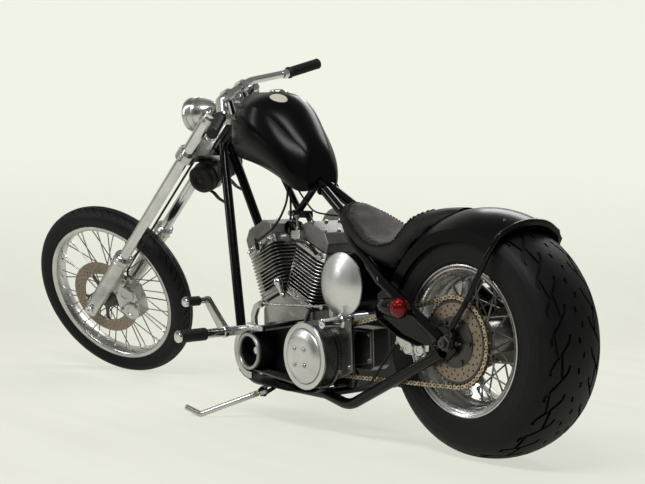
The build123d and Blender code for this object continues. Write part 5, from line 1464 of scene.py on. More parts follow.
seat_panel = padded_panel()
swelled(seat_panel, 0.0045, 4.0, 0.005)
set_in_place(seat_panel, "frame", BROWN_LEATHER, "leather")
edge_line = []
for side in SIDES:
    run = [on_roof(PANEL_FRONT - 0.0008 - (PANEL_FRONT - PANEL_BACK - 0.0016) * i / 200, side * 1.0, 0.0014)
           for i in range(201)]
    edge_line += run if side > 0 else run[::-1]
lace_places = []
since = 0.0
for a, b in zip(edge_line, edge_line[1:] + edge_line[:1]):
    since += (b - a).length
    if since > 0.0092:
        since = 0.0
        along = (b - a).normalized()
        up = Vector((0, 0, 1))
        out = along.cross(up).normalized()
        lean = (along * 0.75 + out * 0.66).normalized()
        turn = Matrix((lean, up.cross(lean).normalized(), lean.cross(up.cross(lean).normalized()))).transposed()
        lace_places.append(Matrix.Translation(b) @ turn.to_4x4())
lace = swept([(-0.0080, 0, -0.0042), (-0.0050, 0, -0.0002), (0, 0, 0.0010), (0.0050, 0, -0.0002), (0.0080, 0, -0.0042)],
             [0.0012, 0.0022, 0.0026, 0.0022, 0.0012], 8)
repeated("seat_lacing", [lace], lace_places, BIKE, BLACK_LEATHER, "frame", "black_leather", crease=60)

# The fender is rolled steel in satin black with a wired rear edge, carried by a rod from each axle plate.
finish_node("rear_fender", SATIN_BLACK)
fender_bolts = []
for side in SIDES:
    turn = math.radians(110)
    outward = Vector((math.cos(turn), side * 0.38, math.sin(turn)))
    fender_bolts.append((Vector((0.3445 * math.cos(turn), side * 0.062, REAR_RADIUS + 0.3445 * math.sin(turn))), outward))
DOME = lathe([(0, 0), (0, 1), (0.45, 0.94), (0.8, 0.68), (1, 0.3), (1.03, 0)], (0, 0, 0), (0, 0, 1), 12)
screw_heads("fender_bolts", fender_bolts, 0.0052, 0.0030, BIKE, GLOSS_BLACK, "frame", "black_part", shape=DOME)

hoop = [Vector((0.002, 0.153, 0.352)), Vector((-0.031, 0.1525, 0.398)), Vector((-0.062, 0.151, 0.438)),
        Vector((-0.096, 0.141, 0.505)), Vector((-0.124, 0.1325, 0.562))]
half_hoop = []
for step in range(11):
    y = 0.1120 - 0.1120 * step / 10
    radius = 0.356 - 0.174 + math.sqrt(0.174 ** 2 - min(y, 0.126) ** 2) + 0.0045
    half_hoop.append(Vector((-radius * math.sin(math.radians(27)), y, REAR_RADIUS + radius * math.cos(math.radians(27)))))
left_hoop = hoop + half_hoop
hoop_line = left_hoop + [mirrored(p, -1) for p in reversed(left_hoop[:-1])]
piece_of("fender_hoop", [swept(eased(hoop_line, 3), 0.0078, 14)], BIKE, GLOSS_BLACK, "frame", "black_tube")

# Each tail lamp is a black bullet of turned steel with a black ring and a round lens of faceted red glass.
def red_lens():
    """Red glass over a bright reflector, moulded in small facets."""
    material = glass("red_lens", (0.17, 0.0006, 0.0015, 1), 0.10, 0.0)
    tree = material.node_tree
    add = node_maker(tree)
    shader = tree.nodes["Principled BSDF"]
    place = add("ShaderNodeTexCoord").outputs["Object"]
    cells = add("ShaderNodeTexVoronoi", {"Vector": place, "Scale": 130.0, "Randomness": 0.35})
    relief = add("ShaderNodeBump", {"Height": cells.outputs["Distance"], "Strength": 0.6, "Distance": 0.004}, invert=True)
    tree.links.new(relief.outputs[0], shader.inputs["Normal"])
    shader.inputs["Metallic"].default_value = 0.85
    shader.inputs["Coat Weight"].default_value = 0.5
    return material


RED_GLASS = red_lens()
LAMP_AT_REAR = (0.202, 0.194, 0.414)
lamp_bodies, lamp_rings, lamp_lenses, lamp_backs = [], [], [], []
for side in SIDES:
    at = mirrored(LAMP_AT_REAR, side)
    lamp_bodies.append(lathe([(-0.034, 0), (-0.0335, 0.006), (-0.030, 0.012), (-0.020, 0.0195), (-0.008, 0.0250),
                              (0.010, 0.0280), (0.028, 0.0290), (0.036, 0.0290), (0.036, 0)], at, (-1, 0, 0), 40))
    lamp_bodies.append(swept([at + Vector((-0.006, 0, 0)), at + Vector((-0.006, -side * 0.033, 0))], 0.0082, 20))
    lamp_rings.append(lathe([(0.0355, 0.0255), (0.0355, 0.0296), (0.0385, 0.0296), (0.0395, 0.0285), (0.0395, 0.0255),
                             (0.0355, 0.0255)], at, (-1, 0, 0), 40))
    facets = [(0.0370, 0), (0.0370, 0.0284), (0.0540, 0.0300), (0.0620, 0.0275), (0.0700, 0.0220), (0.0760, 0.0140),
              (0.0790, 0.0060), (0.0794, 0)]
    lamp_lenses.append(lathe(facets, at, (-1, 0, 0), 16))
    lamp_backs.append(lathe([(0.0366, 0), (0.0366, 0.0250), (0.0368, 0.0250), (0.0368, 0)], at, (-1, 0, 0), 24))
piece_of("tail_lamps", lamp_bodies, BIKE, GLOSS_BLACK, "frame", "lamp_black", ("tail_lamps",))
piece_of("tail_lamp_rings", lamp_rings, BIKE, BLACK_PART, "frame", "lamp_black")
piece_of("tail_lamp_lenses", lamp_lenses, BIKE, RED_GLASS, "frame", "red_glass", crease=3)
piece_of("tail_lamp_mirrors", lamp_backs, BIKE, POLISHED, "frame", "polished")

# The oil tank is a rolled drum painted black, closed by two spun aluminium domes.
finish_node("oil_tank", SATIN_BLACK)
finish_node("oil_tank_caps", SATIN)
seams = []
for side in SIDES:
    for y, radius in ((0.1515, 0.0915), (0.1555, 0.0925)):
        seams.append(lathe([(side * (y - 0.0012), radius), (side * (y - 0.0009), radius + 0.0012),
                            (side * (y + 0.0009), radius + 0.0012), (side * (y + 0.0012), radius)],
                           (0.452, 0, 0.458), (0, 1, 0), 72))
piece_of("oil_tank_seams", seams, BIKE, POLISHED, "frame", "polished")


# The engine is an air-cooled V-twin: barrels and heads cast with thin bright fins, three-layer rocker boxes milled
# from plate, and polished cases bolted round the crank. Spark leads run up under the tank.
CRANK = Vector((0.840, 0, 0.232))
FIN_OUTER = (0.076, 0.078)
FIN_CORNER = 0.026
DARK_CAST = metal("dark_cast_aluminium", (0.13, 0.13, 0.13, 1), 0.38, 0.58, 60.0, dent=0.4)
BRUSHED_DARK = metal("dark_brushed_aluminium", (0.31, 0.305, 0.295, 1), 0.26, 0.44, 13.0, (1, 6, 6), dirt=0.5)
ROCKER_METAL = metal("milled_aluminium", (0.25, 0.245, 0.235, 1), 0.36, 0.56, 13.0, (1, 6, 6), dirt=0.55)
FIN_METAL = metal("fin_aluminium", (0.50, 0.49, 0.47, 1), 0.24, 0.40, 400.0, dirt=0.6)


def by_cylinder(lean, along, y, up):
    """A point by a cylinder's axis: along the bike, left, and up from the crank. The lean is forward, in degrees."""
    a = math.radians(lean)
    return CRANK + Vector((up * math.sin(a) + along * math.cos(a), y, up * math.cos(a) - along * math.sin(a)))


def rounded(half_x, half_y, corner, steps=5):
    outline = []
    for sx, sy, start in ((1, 1, 0), (-1, 1, 90), (-1, -1, 180), (1, -1, 270)):
        for step in range(steps + 1):
            turn = math.radians(start + 90 * step / steps)
            outline.append((sx * (half_x - corner) + corner * math.cos(turn), sy * (half_y - corner) + corner * math.sin(turn)))
    return outline


def cut_at_the_v(outline, lean, up):
    """The part of an outline that stays on its own cylinder's side of the V."""
    a = math.radians(lean)
    own = 1 if lean > 0 else -1
    limit = (own * 0.0015 - up * math.sin(a)) / math.cos(a)
    kept = []
    for i, (x, y) in enumerate(outline):
        nx, ny = outline[(i + 1) % len(outline)]
        inside, next_inside = own * (x - limit) >= 0, own * (nx - limit) >= 0
        if inside:
            kept.append((x, y))
        if inside != next_inside:
            t = (limit - x) / (nx - x)
            kept.append((limit, y + (ny - y) * t))
    return kept


def cylinder_slab(lean, layers, outline, cut=False):
    """Stacked outlines by a cylinder: each layer has a height up it and how much it is drawn in."""
    rings = []
    reach = max(abs(p[0]) for p in outline)
    for up, inset in layers:
        share = (reach - inset) / reach
        flat = [(x * share, y * share) for x, y in outline]
        flat = cut_at_the_v(flat, lean, layers[0][0]) if cut else flat
        rings.append([by_cylinder(lean, x, y, up) for x, y in flat])
    return lofted_rings(rings)


LEANS = (22.5, -22.5)
fins, cores = [], []
fin_outline = rounded(*FIN_OUTER, FIN_CORNER)
for lean in LEANS:
    for i in range(14):
        up = 0.1680 + 0.0115 * i
        layers = [(up + 0.0006, 0.004), (up + 0.0010, 0.0006), (up + 0.0018, 0), (up + 0.0030, 0), (up + 0.0038, 0.0006),
                  (up + 0.0042, 0.004)]
        fins.append(cylinder_slab(lean, layers, fin_outline, cut=True))
    for up in (0.1580, 0.2600, 0.3300):
        fins.append(cylinder_slab(lean, [(up, 0.004), (up + 0.001, 0), (up + 0.005, 0), (up + 0.006, 0.004)],
                                  rounded(0.070, 0.068, 0.030), cut=True))
    cores.append(cylinder_slab(lean, [(0.150, 0), (0.342, 0)], rounded(0.058, 0.058, 0.050), cut=True))
    out = 1 if lean > 0 else -1
    port = (by_cylinder(lean, 0.030 * out, -0.048, 0.300), by_cylinder(lean, 0.082 * out, -0.048, 0.300))
    cores.append(lathe(capped([(0, 0.027), (0.052, 0.027)]), port[0], port[1] - port[0], 32))
piece_of("engine_fins", fins, BIKE, FIN_METAL, "frame", "polished", crease=30)
piece_of("engine_cylinders", cores, BIKE, DARK_CAST, "frame", "cast", ("engine_cylinders",))

lower_layers, gaskets, top_boxes, rocker_screws, pushrods, seals = [], [], [], [], [], []
for lean in LEANS:
    lower_layers.append(cylinder_slab(lean, [(0.3290, 0.001), (0.3300, 0), (0.3395, 0), (0.3405, 0.001)],
                                      rounded(0.080, 0.072, 0.016)))
    lower_layers.append(cylinder_slab(lean, [(0.3415, 0.001), (0.3425, 0), (0.3560, 0), (0.3570, 0.001)],
                                      rounded(0.078, 0.070, 0.014)))
    gaskets.append(cylinder_slab(lean, [(0.3400, 0), (0.3420, 0)], rounded(0.079, 0.071, 0.016)))
    gaskets.append(cylinder_slab(lean, [(0.3565, 0), (0.3585, 0)], rounded(0.0745, 0.0665, 0.012)))
    outline = [(-0.074, 0.358), (-0.074, 0.390), (-0.044, 0.4155), (0.044, 0.4155), (0.074, 0.390), (0.074, 0.358)]
    flat = [by_cylinder(lean, x, 0, up) for x, up in outline]
    top_boxes.append(slab([(p.x, p.z) for p in flat], -0.066, 0.066))
    up_way = by_cylinder(lean, 0, 0, 1) - CRANK
    for x in (-0.034, 0.034):
        for y in (-0.054, 0, 0.054):
            rocker_screws.append((by_cylinder(lean, x, y, 0.4155), up_way))
    for x in (-0.064, 0.064):
        rocker_screws.append((by_cylinder(lean, x, 0.0735, 0.3405), up_way))
    for x in (-0.050, 0.0, 0.050):
        rocker_screws.append((by_cylinder(lean, x, 0.0700, 0.3495), Vector((0, 1, 0))))
    out = 1 if lean > 0 else -1
    top_boxes.append(lathe(capped([(0, 0.018), (0.100, 0.018)]), by_cylinder(lean, -0.050, -0.086, 0.346),
                           by_cylinder(lean, 1, 0, 0) - CRANK, 24))
    for along in (0.016, 0.044):
        foot = by_cylinder(lean, along * out, -0.086, 0.060)
        head = by_cylinder(lean, along * 0.9 * out, -0.086, 0.342)
        length = (head - foot).length
        pushrods.append(lathe(capped([(0, 0.0070), (length * 0.42, 0.0070), (length * 0.42, 0.0084),
                                      (length * 0.50, 0.0084), (length * 0.50, 0.0070), (length, 0.0070)]), foot,
                              head - foot, 20))
        for share in (0.20, 0.98):
            seals.append(lathe(capped([(-0.004, 0.0095), (0.004, 0.0095)]), foot.lerp(head, share), head - foot, 20))
piece_of("rocker_boxes", top_boxes, BIKE, ROCKER_METAL, "frame", "polished", ("rocker_boxes",), crease=20, bevel=0.0028)
piece_of("rocker_box_layers", lower_layers, BIKE, POLISHED, "frame", "polished", crease=30)
piece_of("rocker_box_gaskets", gaskets, BIKE, BLACK_RUBBER, "frame", "rubber")
piece_of("pushrod_tubes", pushrods, BIKE, CHROME, "frame", "chrome")
piece_of("pushrod_seals", seals, BIKE, BLACK_RUBBER, "frame", "rubber")
for x, z in ((0.861, 0.333), (0.748, 0.336), (0.925, 0.322)):
    rocker_screws.append((Vector((x, 0.062, z)), Vector((0, 1, 0))))
for i in range(6):
    turn = math.radians(60 * i + 15)
    rocker_screws.append((CRANK + Vector((0.006 + 0.068 * math.cos(turn), -0.106, 0.010 + 0.068 * math.sin(turn))),
                          Vector((0, -1, 0))))
screw_heads("engine_screws", rocker_screws, 0.0058, 0.0062, BIKE, STEEL, "frame")
finish_node("engine_cases", BRUSHED)
bosses = [lathe([(0.060, 0), (0.060, 0.0125), (0.0655, 0.0125), (0.067, 0.0110), (0.067, 0.008), (0.0635, 0.0075),
                 (0.0635, 0)], (x, 0, z), (0, 1, 0), 28) for x, z in ((0.861, 0.333), (0.748, 0.336))]
piece_of("engine_case_bosses", bosses, BIKE, POLISHED, "frame", "polished", bevel=0.0006)
case_face = [slab([(0.968, 0.290), (0.968, 0.349), (0.842, 0.401), (0.838, 0.401), (0.712, 0.349), (0.712, 0.290)],
                  0.050, 0.0620)]
case_face.append(slab([(0.966, 0.290), (0.966, 0.3445), (0.906, 0.3445), (0.862, 0.3445), (0.800, 0.3215), (0.716, 0.3215),
                       (0.716, 0.290)], 0.060, 0.0655))
piece_of("engine_case_face", case_face, BIKE, BRUSHED_DARK, "frame", "polished", crease=20, bevel=0.0016)
case_seam = swept([(0.8600, 0.0624, 0.3850), (0.8100, 0.0624, 0.3400), (0.7900, 0.0660, 0.3215), (0.7700, 0.0660, 0.2950)],
                  0.0011, 6)
piece_of("engine_case_seam", [case_seam], BIKE, BLACK_PART, "frame", "black_part")
cone_at, cone_tip = Vector((0.860, 0.084, 0.441)), Vector((0.834, 0.082, 0.391))
length = (cone_tip - cone_at).length
cone = [lathe([(-0.006, 0), (-0.006, 0.0125), (0, 0.0145), (0.008, 0.0145), (0.012, 0.0120), (length * 0.78, 0.0076),
               (length * 0.82, 0.0090), (length * 0.95, 0.0084), (length, 0.0060), (length, 0)], cone_at,
              cone_tip - cone_at, 28)]
mount_bolt = [lathe([(0.012, 0), (0.012, 0.0105), (0.022, 0.0105), (0.022, 0.0085), (0.030, 0.0085), (0.0315, 0.0070),
                     (0.0315, 0)], (0.864, 0, 0.655), (0, 1, 0), 24)]
thin_bolt = [lathe([(-0.004, 0), (-0.004, 0.0062), (0.004, 0.0062), (0.004, 0.0034), (0.050, 0.0034), (0.050, 0)],
                   (0.771, 0.072, 0.648), (-0.16, 0, -1), 14)]
piece_of("engine_bright_parts", cone + mount_bolt + thin_bolt, BIKE, CHROME, "frame", "chrome")
clamp = [block(0.736, 0.780, 0.0665, 0.0870, 0.5785, 0.6040)]
for z in (0.5815, 0.5880, 0.5945):
    clamp.append(block(0.7345, 0.7815, 0.0665, 0.0890, z, z + 0.0032))
clamp.append(lathe(capped([(0, 0.0062), (0.012, 0.0062)]), (0.7585, 0.078, 0.6035), (0, 0, 1), 14))
piece_of("lead_clamp", clamp, BIKE, POLISHED, "frame", "polished", crease=25, bevel=0.0008)
bracket = [block(0.800, 0.866, -0.016, 0.016, 0.640, 0.662),
           swept([(0.858, 0, 0.650), (0.905, 0, 0.600)], 0.010, 8), swept([(0.808, 0, 0.650), (0.772, 0, 0.600)], 0.010, 8)]
piece_of("top_engine_mount", bracket, BIKE, BLACK_PART, "frame", "black_part", crease=30, bevel=0.0015)
manifold = [swept(eased([(0.912, 0.004, 0.560), (0.875, 0.008, 0.592), (0.840, 0.008, 0.600), (0.805, 0.008, 0.592),
                         (0.768, 0.004, 0.560)], 5), 0.0175, 20)]
piece_of("intake_manifold", manifold, BIKE, CAST, "frame", "cast")
horn = [lathe([(0.006, 0), (0.006, 0.0190), (0.020, 0.0215), (0.046, 0.0230), (0.052, 0.0230), (0.054, 0.0215),
               (0.054, 0.0185), (0.046, 0.0170), (0.030, 0.0120), (0.028, 0)], (0.841, 0, 0.609), (0, 1, 0), 40)]
piece_of("intake_stub", horn, BIKE, BLACK_PART, "frame", "black_part")
piece_of("intake_clamps", [lathe([(y, 0.0225), (y, 0.0245), (y + 0.006, 0.0245), (y + 0.006, 0.0225), (y, 0.0225)],
                                 (0.841, 0, 0.609), (0, 1, 0), 40) for y in (0.026, 0.043)], BIKE, STEEL, "frame", "steel")

leads = [swept(eased([(0.9615, 0.0930, 0.556), (0.950, 0.0970, 0.566), (0.915, 0.095, 0.583), (0.872, 0.090, 0.610),
                      (0.845, 0.080, 0.645), (0.841, 0.060, 0.688), (0.858, 0.040, 0.722), (0.870, 0.024, 0.790)], 6),
               0.0036, 8),
         swept(eased([(0.667, 0.0900, 0.549), (0.682, 0.0960, 0.560), (0.699, 0.094, 0.568), (0.735, 0.092, 0.571),
                      (0.770, 0.080, 0.571), (0.812, 0.062, 0.574), (0.846, 0.046, 0.596), (0.852, 0.034, 0.650),
                      (0.862, 0.026, 0.770)], 6), 0.0036, 8),
         swept(eased([(0.815, 0.030, 0.752), (0.803, 0.038, 0.730), (0.768, 0.040, 0.698), (0.728, 0.036, 0.664),
                      (0.690, 0.010, 0.652), (0.662, -0.060, 0.640), (0.700, -0.110, 0.610)], 6), 0.0028, 8)]
leads.append(lathe(capped([(0, 0.0068), (0.024, 0.0062), (0.028, 0.0046), (0.040, 0.0042)]), (0.9685, 0.0830, 0.540),
                   (-0.40, 0.52, 1), 16))
leads.append(lathe(capped([(0, 0.0068), (0.024, 0.0062), (0.028, 0.0046), (0.040, 0.0042)]), (0.6600, 0.0815, 0.533),
                   (0.38, 0.50, 1), 16))
piece_of("spark_leads", leads, BIKE, BLACK_RUBBER, "frame", "rubber")
plugs = [lathe(capped([(-0.016, 0.0085), (-0.008, 0.0085), (-0.008, 0.0060), (0.002, 0.0055)]), (0.9685, 0.0830, 0.540),
               (-0.40, 0.52, 1), 6),
         lathe(capped([(-0.016, 0.0085), (-0.008, 0.0085), (-0.008, 0.0060), (0.002, 0.0055)]), (0.6600, 0.0815, 0.533),
               (0.38, 0.50, 1), 6)]
piece_of("spark_plugs", plugs, BIKE, STEEL, "frame", "steel", crease=25)

# The air cleaner on the right is a pleated ring between a back plate and a turned chrome cover.
cleaner_at = Vector((0.840, 0, 0.584))
piece_of("air_cleaner", [lathe([(0.176, 0), (0.176, 0.0800), (0.182, 0.0820), (0.190, 0.0790), (0.1945, 0.0700),
                                (0.1960, 0.0500), (0.1930, 0.0480), (0.1930, 0)], cleaner_at, (0, -1, 0), 72)], BIKE,
         CHROME, "frame", "chrome", ("air_cleaner",))
piece_of("air_cleaner_base", [lathe(capped([(0.140, 0.082), (0.149, 0.082)]), cleaner_at, (0, -1, 0), 64),
                              lathe(capped([(-0.010, 0.024), (0.096, 0.024), (0.100, 0.034), (0.140, 0.034)]),
                                    (0.840, 0, 0.590), (0, -1, 0), 40)], BIKE, CAST, "frame", "cast")
pleat = slab([(-0.0030, -0.002), (0, 0.0035), (0.0030, -0.002)], -0.0140, 0.0140)
repeated("air_cleaner_pleats", [pleat],
         [Matrix.Translation(cleaner_at + Vector((0, -0.1625, 0))) @ Matrix.Rotation(math.tau * i / 72, 4, "Y")
          @ Matrix.Translation((0, 0, 0.0735)) for i in range(72)], BIKE, BLACK_PART, "frame", "black_part", crease=20)
piece_of("air_cleaner_core", [ring(0.062, 0.0730, -0.177, -0.148, cleaner_at, 48)], BIKE, BLACK_PART, "frame",
         "black_part")
screw_heads("air_cleaner_screws", [((cleaner_at.x + 0.030 * math.cos(math.tau * i / 3), -0.193,
                                     cleaner_at.z + 0.030 * math.sin(math.tau * i / 3)), (0, -1, 0)) for i in range(3)],
            0.0052, 0.005, BIKE, STEEL, "frame")

# The exhaust is two chromed tubes, open at the back; a thin black disc at each open end is painted shade for the inside
# of the pipe.
finish_node("exhaust_pipes", CHROME)
# Painted shade: a black disc closes each pipe end to stand for its dark inside.
pipe_shades = [lathe([(0, 0), (0, 0.0195), (0.0004, 0.0195), (0.0004, 0)], at, (-1, 0, 0), 32)
          for at in ((0.260, -0.198, 0.200), (0.230, -0.198, 0.254))]
piece_of("exhaust_mouths", pipe_shades, BIKE, BLACK_PART, "frame", "black_part")
lips = [lathe([(-0.002, 0.0215), (-0.002, 0.0232), (0.002, 0.0232), (0.003, 0.0215), (0.002, 0.0192), (-0.002, 0.0215)], at,
              (-1, 0, 0), 40) for at in ((0.260, -0.198, 0.200), (0.230, -0.198, 0.254))]
piece_of("exhaust_lips", lips, BIKE, CHROME, "frame", "chrome")


# The primary is an open ribbed belt, 43 mm wide, between a short pulley and the clutch basket, in front of a milled
# back plate: black ahead, polished round the starter's nose. A polished C plate guards the pulley.
CLUTCH = Vector((0.56146, 0, 0.243))
front_plate = [slab([(0.846, 0.308), (0.5615, 0.341), (0.498, 0.358), (0.498, 0.172), (0.5615, 0.145), (0.846, 0.156)],
                    0.142, 0.152)]
front_plate += [lathe(capped([(0.142, radius), (0.152, radius)]), at, (0, 1, 0), 64)
                for at, radius in ((CRANK, 0.076), (CLUTCH, 0.098))]
front_plate.append(lathe(capped([(0.118, 0.040), (0.143, 0.040)]), CRANK, (0, 1, 0), 40))
front_plate += [lathe(capped([(0.104, 0.011), (0.143, 0.011)]), CLUTCH + Vector((dx, 0, dz)), (0, 1, 0), 16)
                for dx, dz in ((0.020, 0.084), (-0.060, -0.084), (0.086, -0.010))]
piece_of("motor_plate", front_plate, BIKE, BLACK_PART, "frame", "black_part", ("motor_plate",))
rear_plate = [slab([(0.500, 0.358), (0.480, 0.366), (0.412, 0.366), (0.412, 0.205), (0.500, 0.170)], 0.1415, 0.1525)]
piece_of("starter_plate", rear_plate, BIKE, BRUSHED_DARK, "frame", "polished", crease=25, bevel=0.0015)
nose_profile = [(0.150, 0), (0.150, 0.0225), (0.156, 0.0225), (0.1575, 0.0205), (0.1600, 0.0190), (0.1630, 0.0172),
                (0.2130, 0.0135), (0.2145, 0.0148), (0.2225, 0.0142), (0.2240, 0.0122), (0.2240, 0.0070),
                (0.2200, 0.0062), (0.2200, 0)]
piece_of("starter_nose", [lathe(nose_profile, (0.462, 0, 0.348), (0, 1, 0), 40)], BIKE, CHROME, "frame", "chrome")
screw_heads("motor_plate_screws", [((x, 0.1525, z), (0, 1, 0)) for x, z in ((0.424, 0.354), (0.424, 0.218), (0.470, 0.200),
                                                                           (0.492, 0.350))],
            0.0060, 0.0060, BIKE, STEEL, "frame")

pulley = [lathe([(0.152, 0), (0.152, 0.0220), (0.158, 0.0225), (0.158, 0.0560), (0.2100, 0.0560), (0.2100, 0.0465),
                 (0.1770, 0.0455), (0.1770, 0)], CRANK, (0, 1, 0), 72)]
basket = [lathe([(0.152, 0), (0.152, 0.030), (0.1545, 0.030), (0.1545, 0.0965), (0.1625, 0.0965), (0.1625, 0.0900),
                 (0.2070, 0.0900), (0.2070, 0)], CLUTCH, (0, 1, 0), 96)]
piece_of("primary_pulleys", pulley + basket, BIKE, BLACK_PART, "frame", "black_part", ("primary_pulleys",))
gear_tooth = slab([(-0.0026, -0.0015), (-0.0016, 0.0066), (0.0016, 0.0066), (0.0026, -0.0015)], -0.0040, 0.0040)
repeated("ring_gear_teeth", [gear_tooth],
         [Matrix.Translation(CLUTCH + Vector((0, 0.1585, 0))) @ Matrix.Rotation(math.tau * i / 84, 4, "Y")
          @ Matrix.Translation((0, 0, 0.0965)) for i in range(84)], BIKE, STEEL, "frame", "steel", crease=20)
pulley_ring = [(0.2095, 0.0470), (0.2095, 0.0575), (0.2188, 0.0575), (0.2208, 0.0560), (0.2208, 0.0485),
               (0.2188, 0.0470), (0.2095, 0.0470)]
piece_of("pulley_ring", [lathe(pulley_ring, CRANK, (0, 1, 0), 80)], BIKE, BRUSHED, "frame", "polished")
piece_of("pulley_bolt", [lathe([(0.176, 0), (0.176, 0.0190), (0.179, 0.0190), (0.179, 0)], CRANK, (0, 1, 0), 32),
                         lathe([(0.178, 0), (0.178, 0.0135), (0.189, 0.0135), (0.191, 0.0118), (0.191, 0)], CRANK,
                               (0, 1, 0), 6)], BIKE, CHROME, "frame", "chrome", crease=25)

BELT_RIBS = 8
belt_profile = [(0.163, 0.0904)]
for rib in range(BELT_RIBS):
    start = 0.1635 + rib * 0.0053
    belt_profile += [(start, 0.0935), (start + 0.0008, 0.0962), (start + 0.0036, 0.0962), (start + 0.0044, 0.0935)]
belt_profile += [(0.206, 0.0904)]
belt_points, belt_faces = [], []
STEPS = 150
rows = len(belt_profile)
for step in range(STEPS):
    for y, r in belt_profile:
        grow = r - 0.0900
        a, b = 0.0900 + grow, 0.0550 + grow
        across_loop = CRANK - CLUTCH
        base = math.atan2(across_loop.z, across_loop.x)
        opening = math.acos(0.035 / across_loop.length)
        straight = math.sqrt(across_loop.length ** 2 - 0.035 ** 2)
        share = [straight, b * 2 * opening, straight, a * (math.tau - 2 * opening)]
        at = on_loop(sum(share) * step / STEPS, CLUTCH, a, CRANK, b)
        belt_points.append(Vector((at.x, y, at.z)))
for step in range(STEPS):
    for k in range(rows):
        a, b = step * rows + k, (step + 1) % STEPS * rows + k
        c = (k + 1) % rows - k
        belt_faces.append((a, b, b + c, a + c))
BELT_RUBBER = rubber("belt_rubber", (0.030, 0.030, 0.030, 1), 0.24, 0.9)
piece_of("primary_belt", [(belt_points, belt_faces)], BIKE, BELT_RUBBER, "frame", "rubber", ("primary_belt",), crease=35)

finish_node("belt_guard", POLISHED)
strip = [(0.868, 0.3020), (0.800, 0.3085), (0.706, 0.3225), (0.632, 0.3385), (0.632, 0.3425), (0.706, 0.3265),
         (0.800, 0.3125), (0.868, 0.3060)]
piece_of("belt_cover_strip", [slab(strip, 0.153, 0.2130)], BIKE, BLACK_PART, "frame", "black_part", crease=30,
         bevel=0.0010)
tray_curve = eased([(0.905, 0, 0.172), (0.870, 0, 0.151), (0.800, 0, 0.141), (0.720, 0, 0.135), (0.650, 0, 0.132),
                    (0.590, 0, 0.136), (0.530, 0, 0.139), (0.486, 0, 0.156)], 4)
tray = []
for a, b in zip(tray_curve, tray_curve[1:]):
    tray.append(slab([(a.x, a.z), (b.x, b.z), (b.x, b.z - 0.003), (a.x, a.z - 0.003)], 0.152, 0.2110))
piece_of("belt_tray", tray, BIKE, BLACK_PART, "frame", "black_part", crease=45)

flange = [(0.2070, 0.0830), (0.2070, 0.0985), (0.2080, 0.0995), (0.2135, 0.0995), (0.2150, 0.0980), (0.2150, 0.0845),
          (0.2135, 0.0830), (0.2070, 0.0830)]
piece_of("clutch_cover_flange", [lathe(flange, CLUTCH, (0, 1, 0), 96)], BIKE, SATIN, "frame", "polished")
dome = [(0.2060, 0), (0.2060, 0.0815), (0.2160, 0.0812), (0.2185, 0.0800), (0.2205, 0.0770), (0.2245, 0.0712),
        (0.2280, 0.0650), (0.2300, 0.0590), (0.2309, 0.0520), (0.2312, 0.0400), (0.2314, 0)]
piece_of("clutch_cover", [lathe(dome, CLUTCH, (0, 1, 0), 96)], BIKE, SATIN, "frame", "polished", ("clutch_cover",))
cover_screws = [(CLUTCH + Vector((sx * 0.0228, 0.2310, sz * 0.0235)), (0, 1, 0)) for sx in SIDES for sz in SIDES]
screw_heads("clutch_cover_washers", [(Vector(p) - Vector((0, 0.0006, 0)), d) for p, d in cover_screws], 0.0090, 0.0016,
            BIKE, DARK_STEEL, "frame", "steel", shape=DOME)
screw_heads("clutch_cover_screws", cover_screws, 0.0072, 0.0056, BIKE, STEEL, "frame", "steel", shape=DOME)

# The gearbox is a cast case with a bolted side cover; its sprocket drives the chain.
finish_node("gearbox", DARK_CAST)
coil_box = [slab([(0.376, 0.218), (0.376, 0.328), (0.480, 0.328), (0.480, 0.206), (0.392, 0.206)], 0.040, 0.100),
            slab([(0.384, 0.228), (0.384, 0.320), (0.470, 0.320), (0.470, 0.214)], 0.100, 0.104)]
piece_of("coil_box", coil_box, BIKE, BRUSHED_DARK, "frame", "cast", crease=25, bevel=0.0018)
box_screws = [((x, 0.104, z), (0, 1, 0)) for x, z in ((0.392, 0.312), (0.392, 0.236), (0.460, 0.312))]
for i in range(6):
    turn = math.tau * i / 6
    box_screws.append(((0.5535 + 0.052 * math.cos(turn), -0.118, 0.243 + 0.052 * math.sin(turn)), (0, -1, 0)))
screw_heads("gearbox_screws", box_screws, 0.0055, 0.0055, BIKE, STEEL, "frame")

# The foot controls are polished aluminium arms and pegs with rubber sleeves and bright end buttons.
finish_node("foot_controls", POLISHED)
sleeves, buttons = [], []
for side in SIDES:
    profile = [(0.3290, 0.0110), (0.3290, 0.0195), (0.3320, 0.0202)]
    for rib in range(10):
        start = 0.3350 + rib * 0.0084
        profile += [(start, 0.0188), (start + 0.0018, 0.0200), (start + 0.0060, 0.0200), (start + 0.0078, 0.0188)]
    profile += [(0.4200, 0.0200), (0.4215, 0.0140)]
    sleeves.append(lathe(profile, (0.914, 0, 0.290), (0, side, 0), 28))
    buttons.append(lathe([(0.4215, 0), (0.4215, 0.0182), (0.4275, 0.0188), (0.4310, 0.0170), (0.4326, 0.0100), (0.4330, 0)],
                         (0.914, 0, 0.290), (0, side, 0), 32))
    buttons.append(lathe(capped([(0.250, 0.0185), (0.262, 0.0185), (0.2622, 0.0150), (0.330, 0.0150)]), (0.914, 0, 0.290), (0, side, 0), 32))
    sleeves.append(lathe([(0.2860, 0.0100), (0.2860, 0.0148), (0.2880, 0.0154), (0.3300, 0.0154), (0.3320, 0.0148),
                          (0.3320, 0.0100)], (1.010, 0, 0.384), (0, side, 0), 24))
    buttons.append(lathe([(0.3320, 0), (0.3320, 0.0158), (0.3380, 0.0162), (0.3420, 0.0140), (0.3436, 0.0070), (0.3440, 0)],
                         (1.010, 0, 0.384), (0, side, 0), 28))
piece_of("peg_rubbers", sleeves, BIKE, BLACK_RUBBER, "frame", "rubber", crease=50)
piece_of("peg_buttons", buttons, BIKE, CHROME, "frame", "chrome")
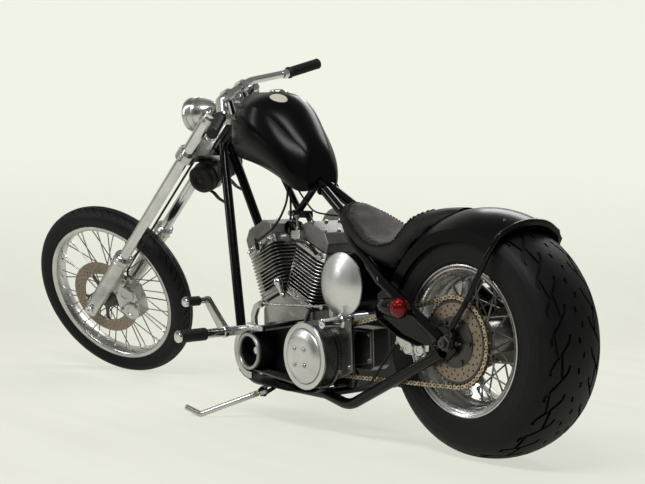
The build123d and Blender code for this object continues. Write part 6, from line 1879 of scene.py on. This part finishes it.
linkage = [lathe(capped([(0.134, 0.0088), (0.152, 0.0088)]), (0.868, 0, 0.374), (0, 1, 0), 24),
           lathe(capped([(0, 0.0060), (0.026, 0.0060)]), (0.858, 0.142, 0.3742), (-1, 0, 0.03), 6),
           lathe(capped([(0, 0.0060), (0.030, 0.0060)]), (0.592, 0.142, 0.3830), (-1, 0, 0.03), 6),
           lathe(capped([(0.134, 0.0078), (0.151, 0.0078)]), (0.556, 0, 0.384), (0, 1, 0), 20)]
piece_of("shift_rod_ends", linkage, BIKE, STEEL, "frame", "steel", crease=30)

# The rear caliper is two polished halves over the rotor, with a piston lobe each and a banjo fitting for its hose.
finish_node("rear_caliper", POLISHED)
rear_lobes = [lathe([(0.150, 0.0190), (0.1585, 0.0190), (0.1605, 0.0170), (0.1605, 0.0100), (0.1590, 0.0090), (0.1590, 0)],
                    (x, 0, z), (0, 1, 0), 36) for x, z in ((0.116, 0.2990), (0.160, 0.3020))]
piece_of("rear_caliper_lobes", rear_lobes, BIKE, POLISHED, "frame", "polished")
screw_heads("rear_caliper_screws", [((x, 0.155, z), (0, 1, 0)) for x, z in ((0.090, 0.290), (0.138, 0.287), (0.186, 0.296))],
            0.0055, 0.0055, BIKE, STEEL, "frame")
piece_of("rear_hose_fitting", [lathe(capped([(0, 0.0072), (0.014, 0.0072), (0.016, 0.0056), (0.026, 0.0053)]),
                                     (0.203, 0.148, 0.326), (0.65, 0, -0.76), 12)], BIKE, GOLD, "frame", "gold", crease=30)

# The side stand is a chromed bar on a clevis, with a return spring coiled round its neck.
finish_node("side_stand", POLISHED)
stand_pivot = Vector((0.824, 0.176, 0.104))
back = BIKE.inverted()
stand_points = [back @ (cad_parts["side_stand"].matrix_world @ v.co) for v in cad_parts["side_stand"].data.vertices]
heel = Vector((0.925, 0.345, min(p.z for p in stand_points) + 0.009))
leg_way = (heel - stand_pivot).normalized()
_, first, second = square_to(leg_way)
coil = []
for i in range(0, 131):
    turn = math.tau * i / 13
    coil.append(stand_pivot + leg_way * (0.016 + 0.0026 * i / 13) + (first * math.cos(turn) + second * math.sin(turn)) * 0.0085)
piece_of("stand_spring", [swept(coil, 0.0013, 6)], BIKE, GOLD, "stand", "gold")
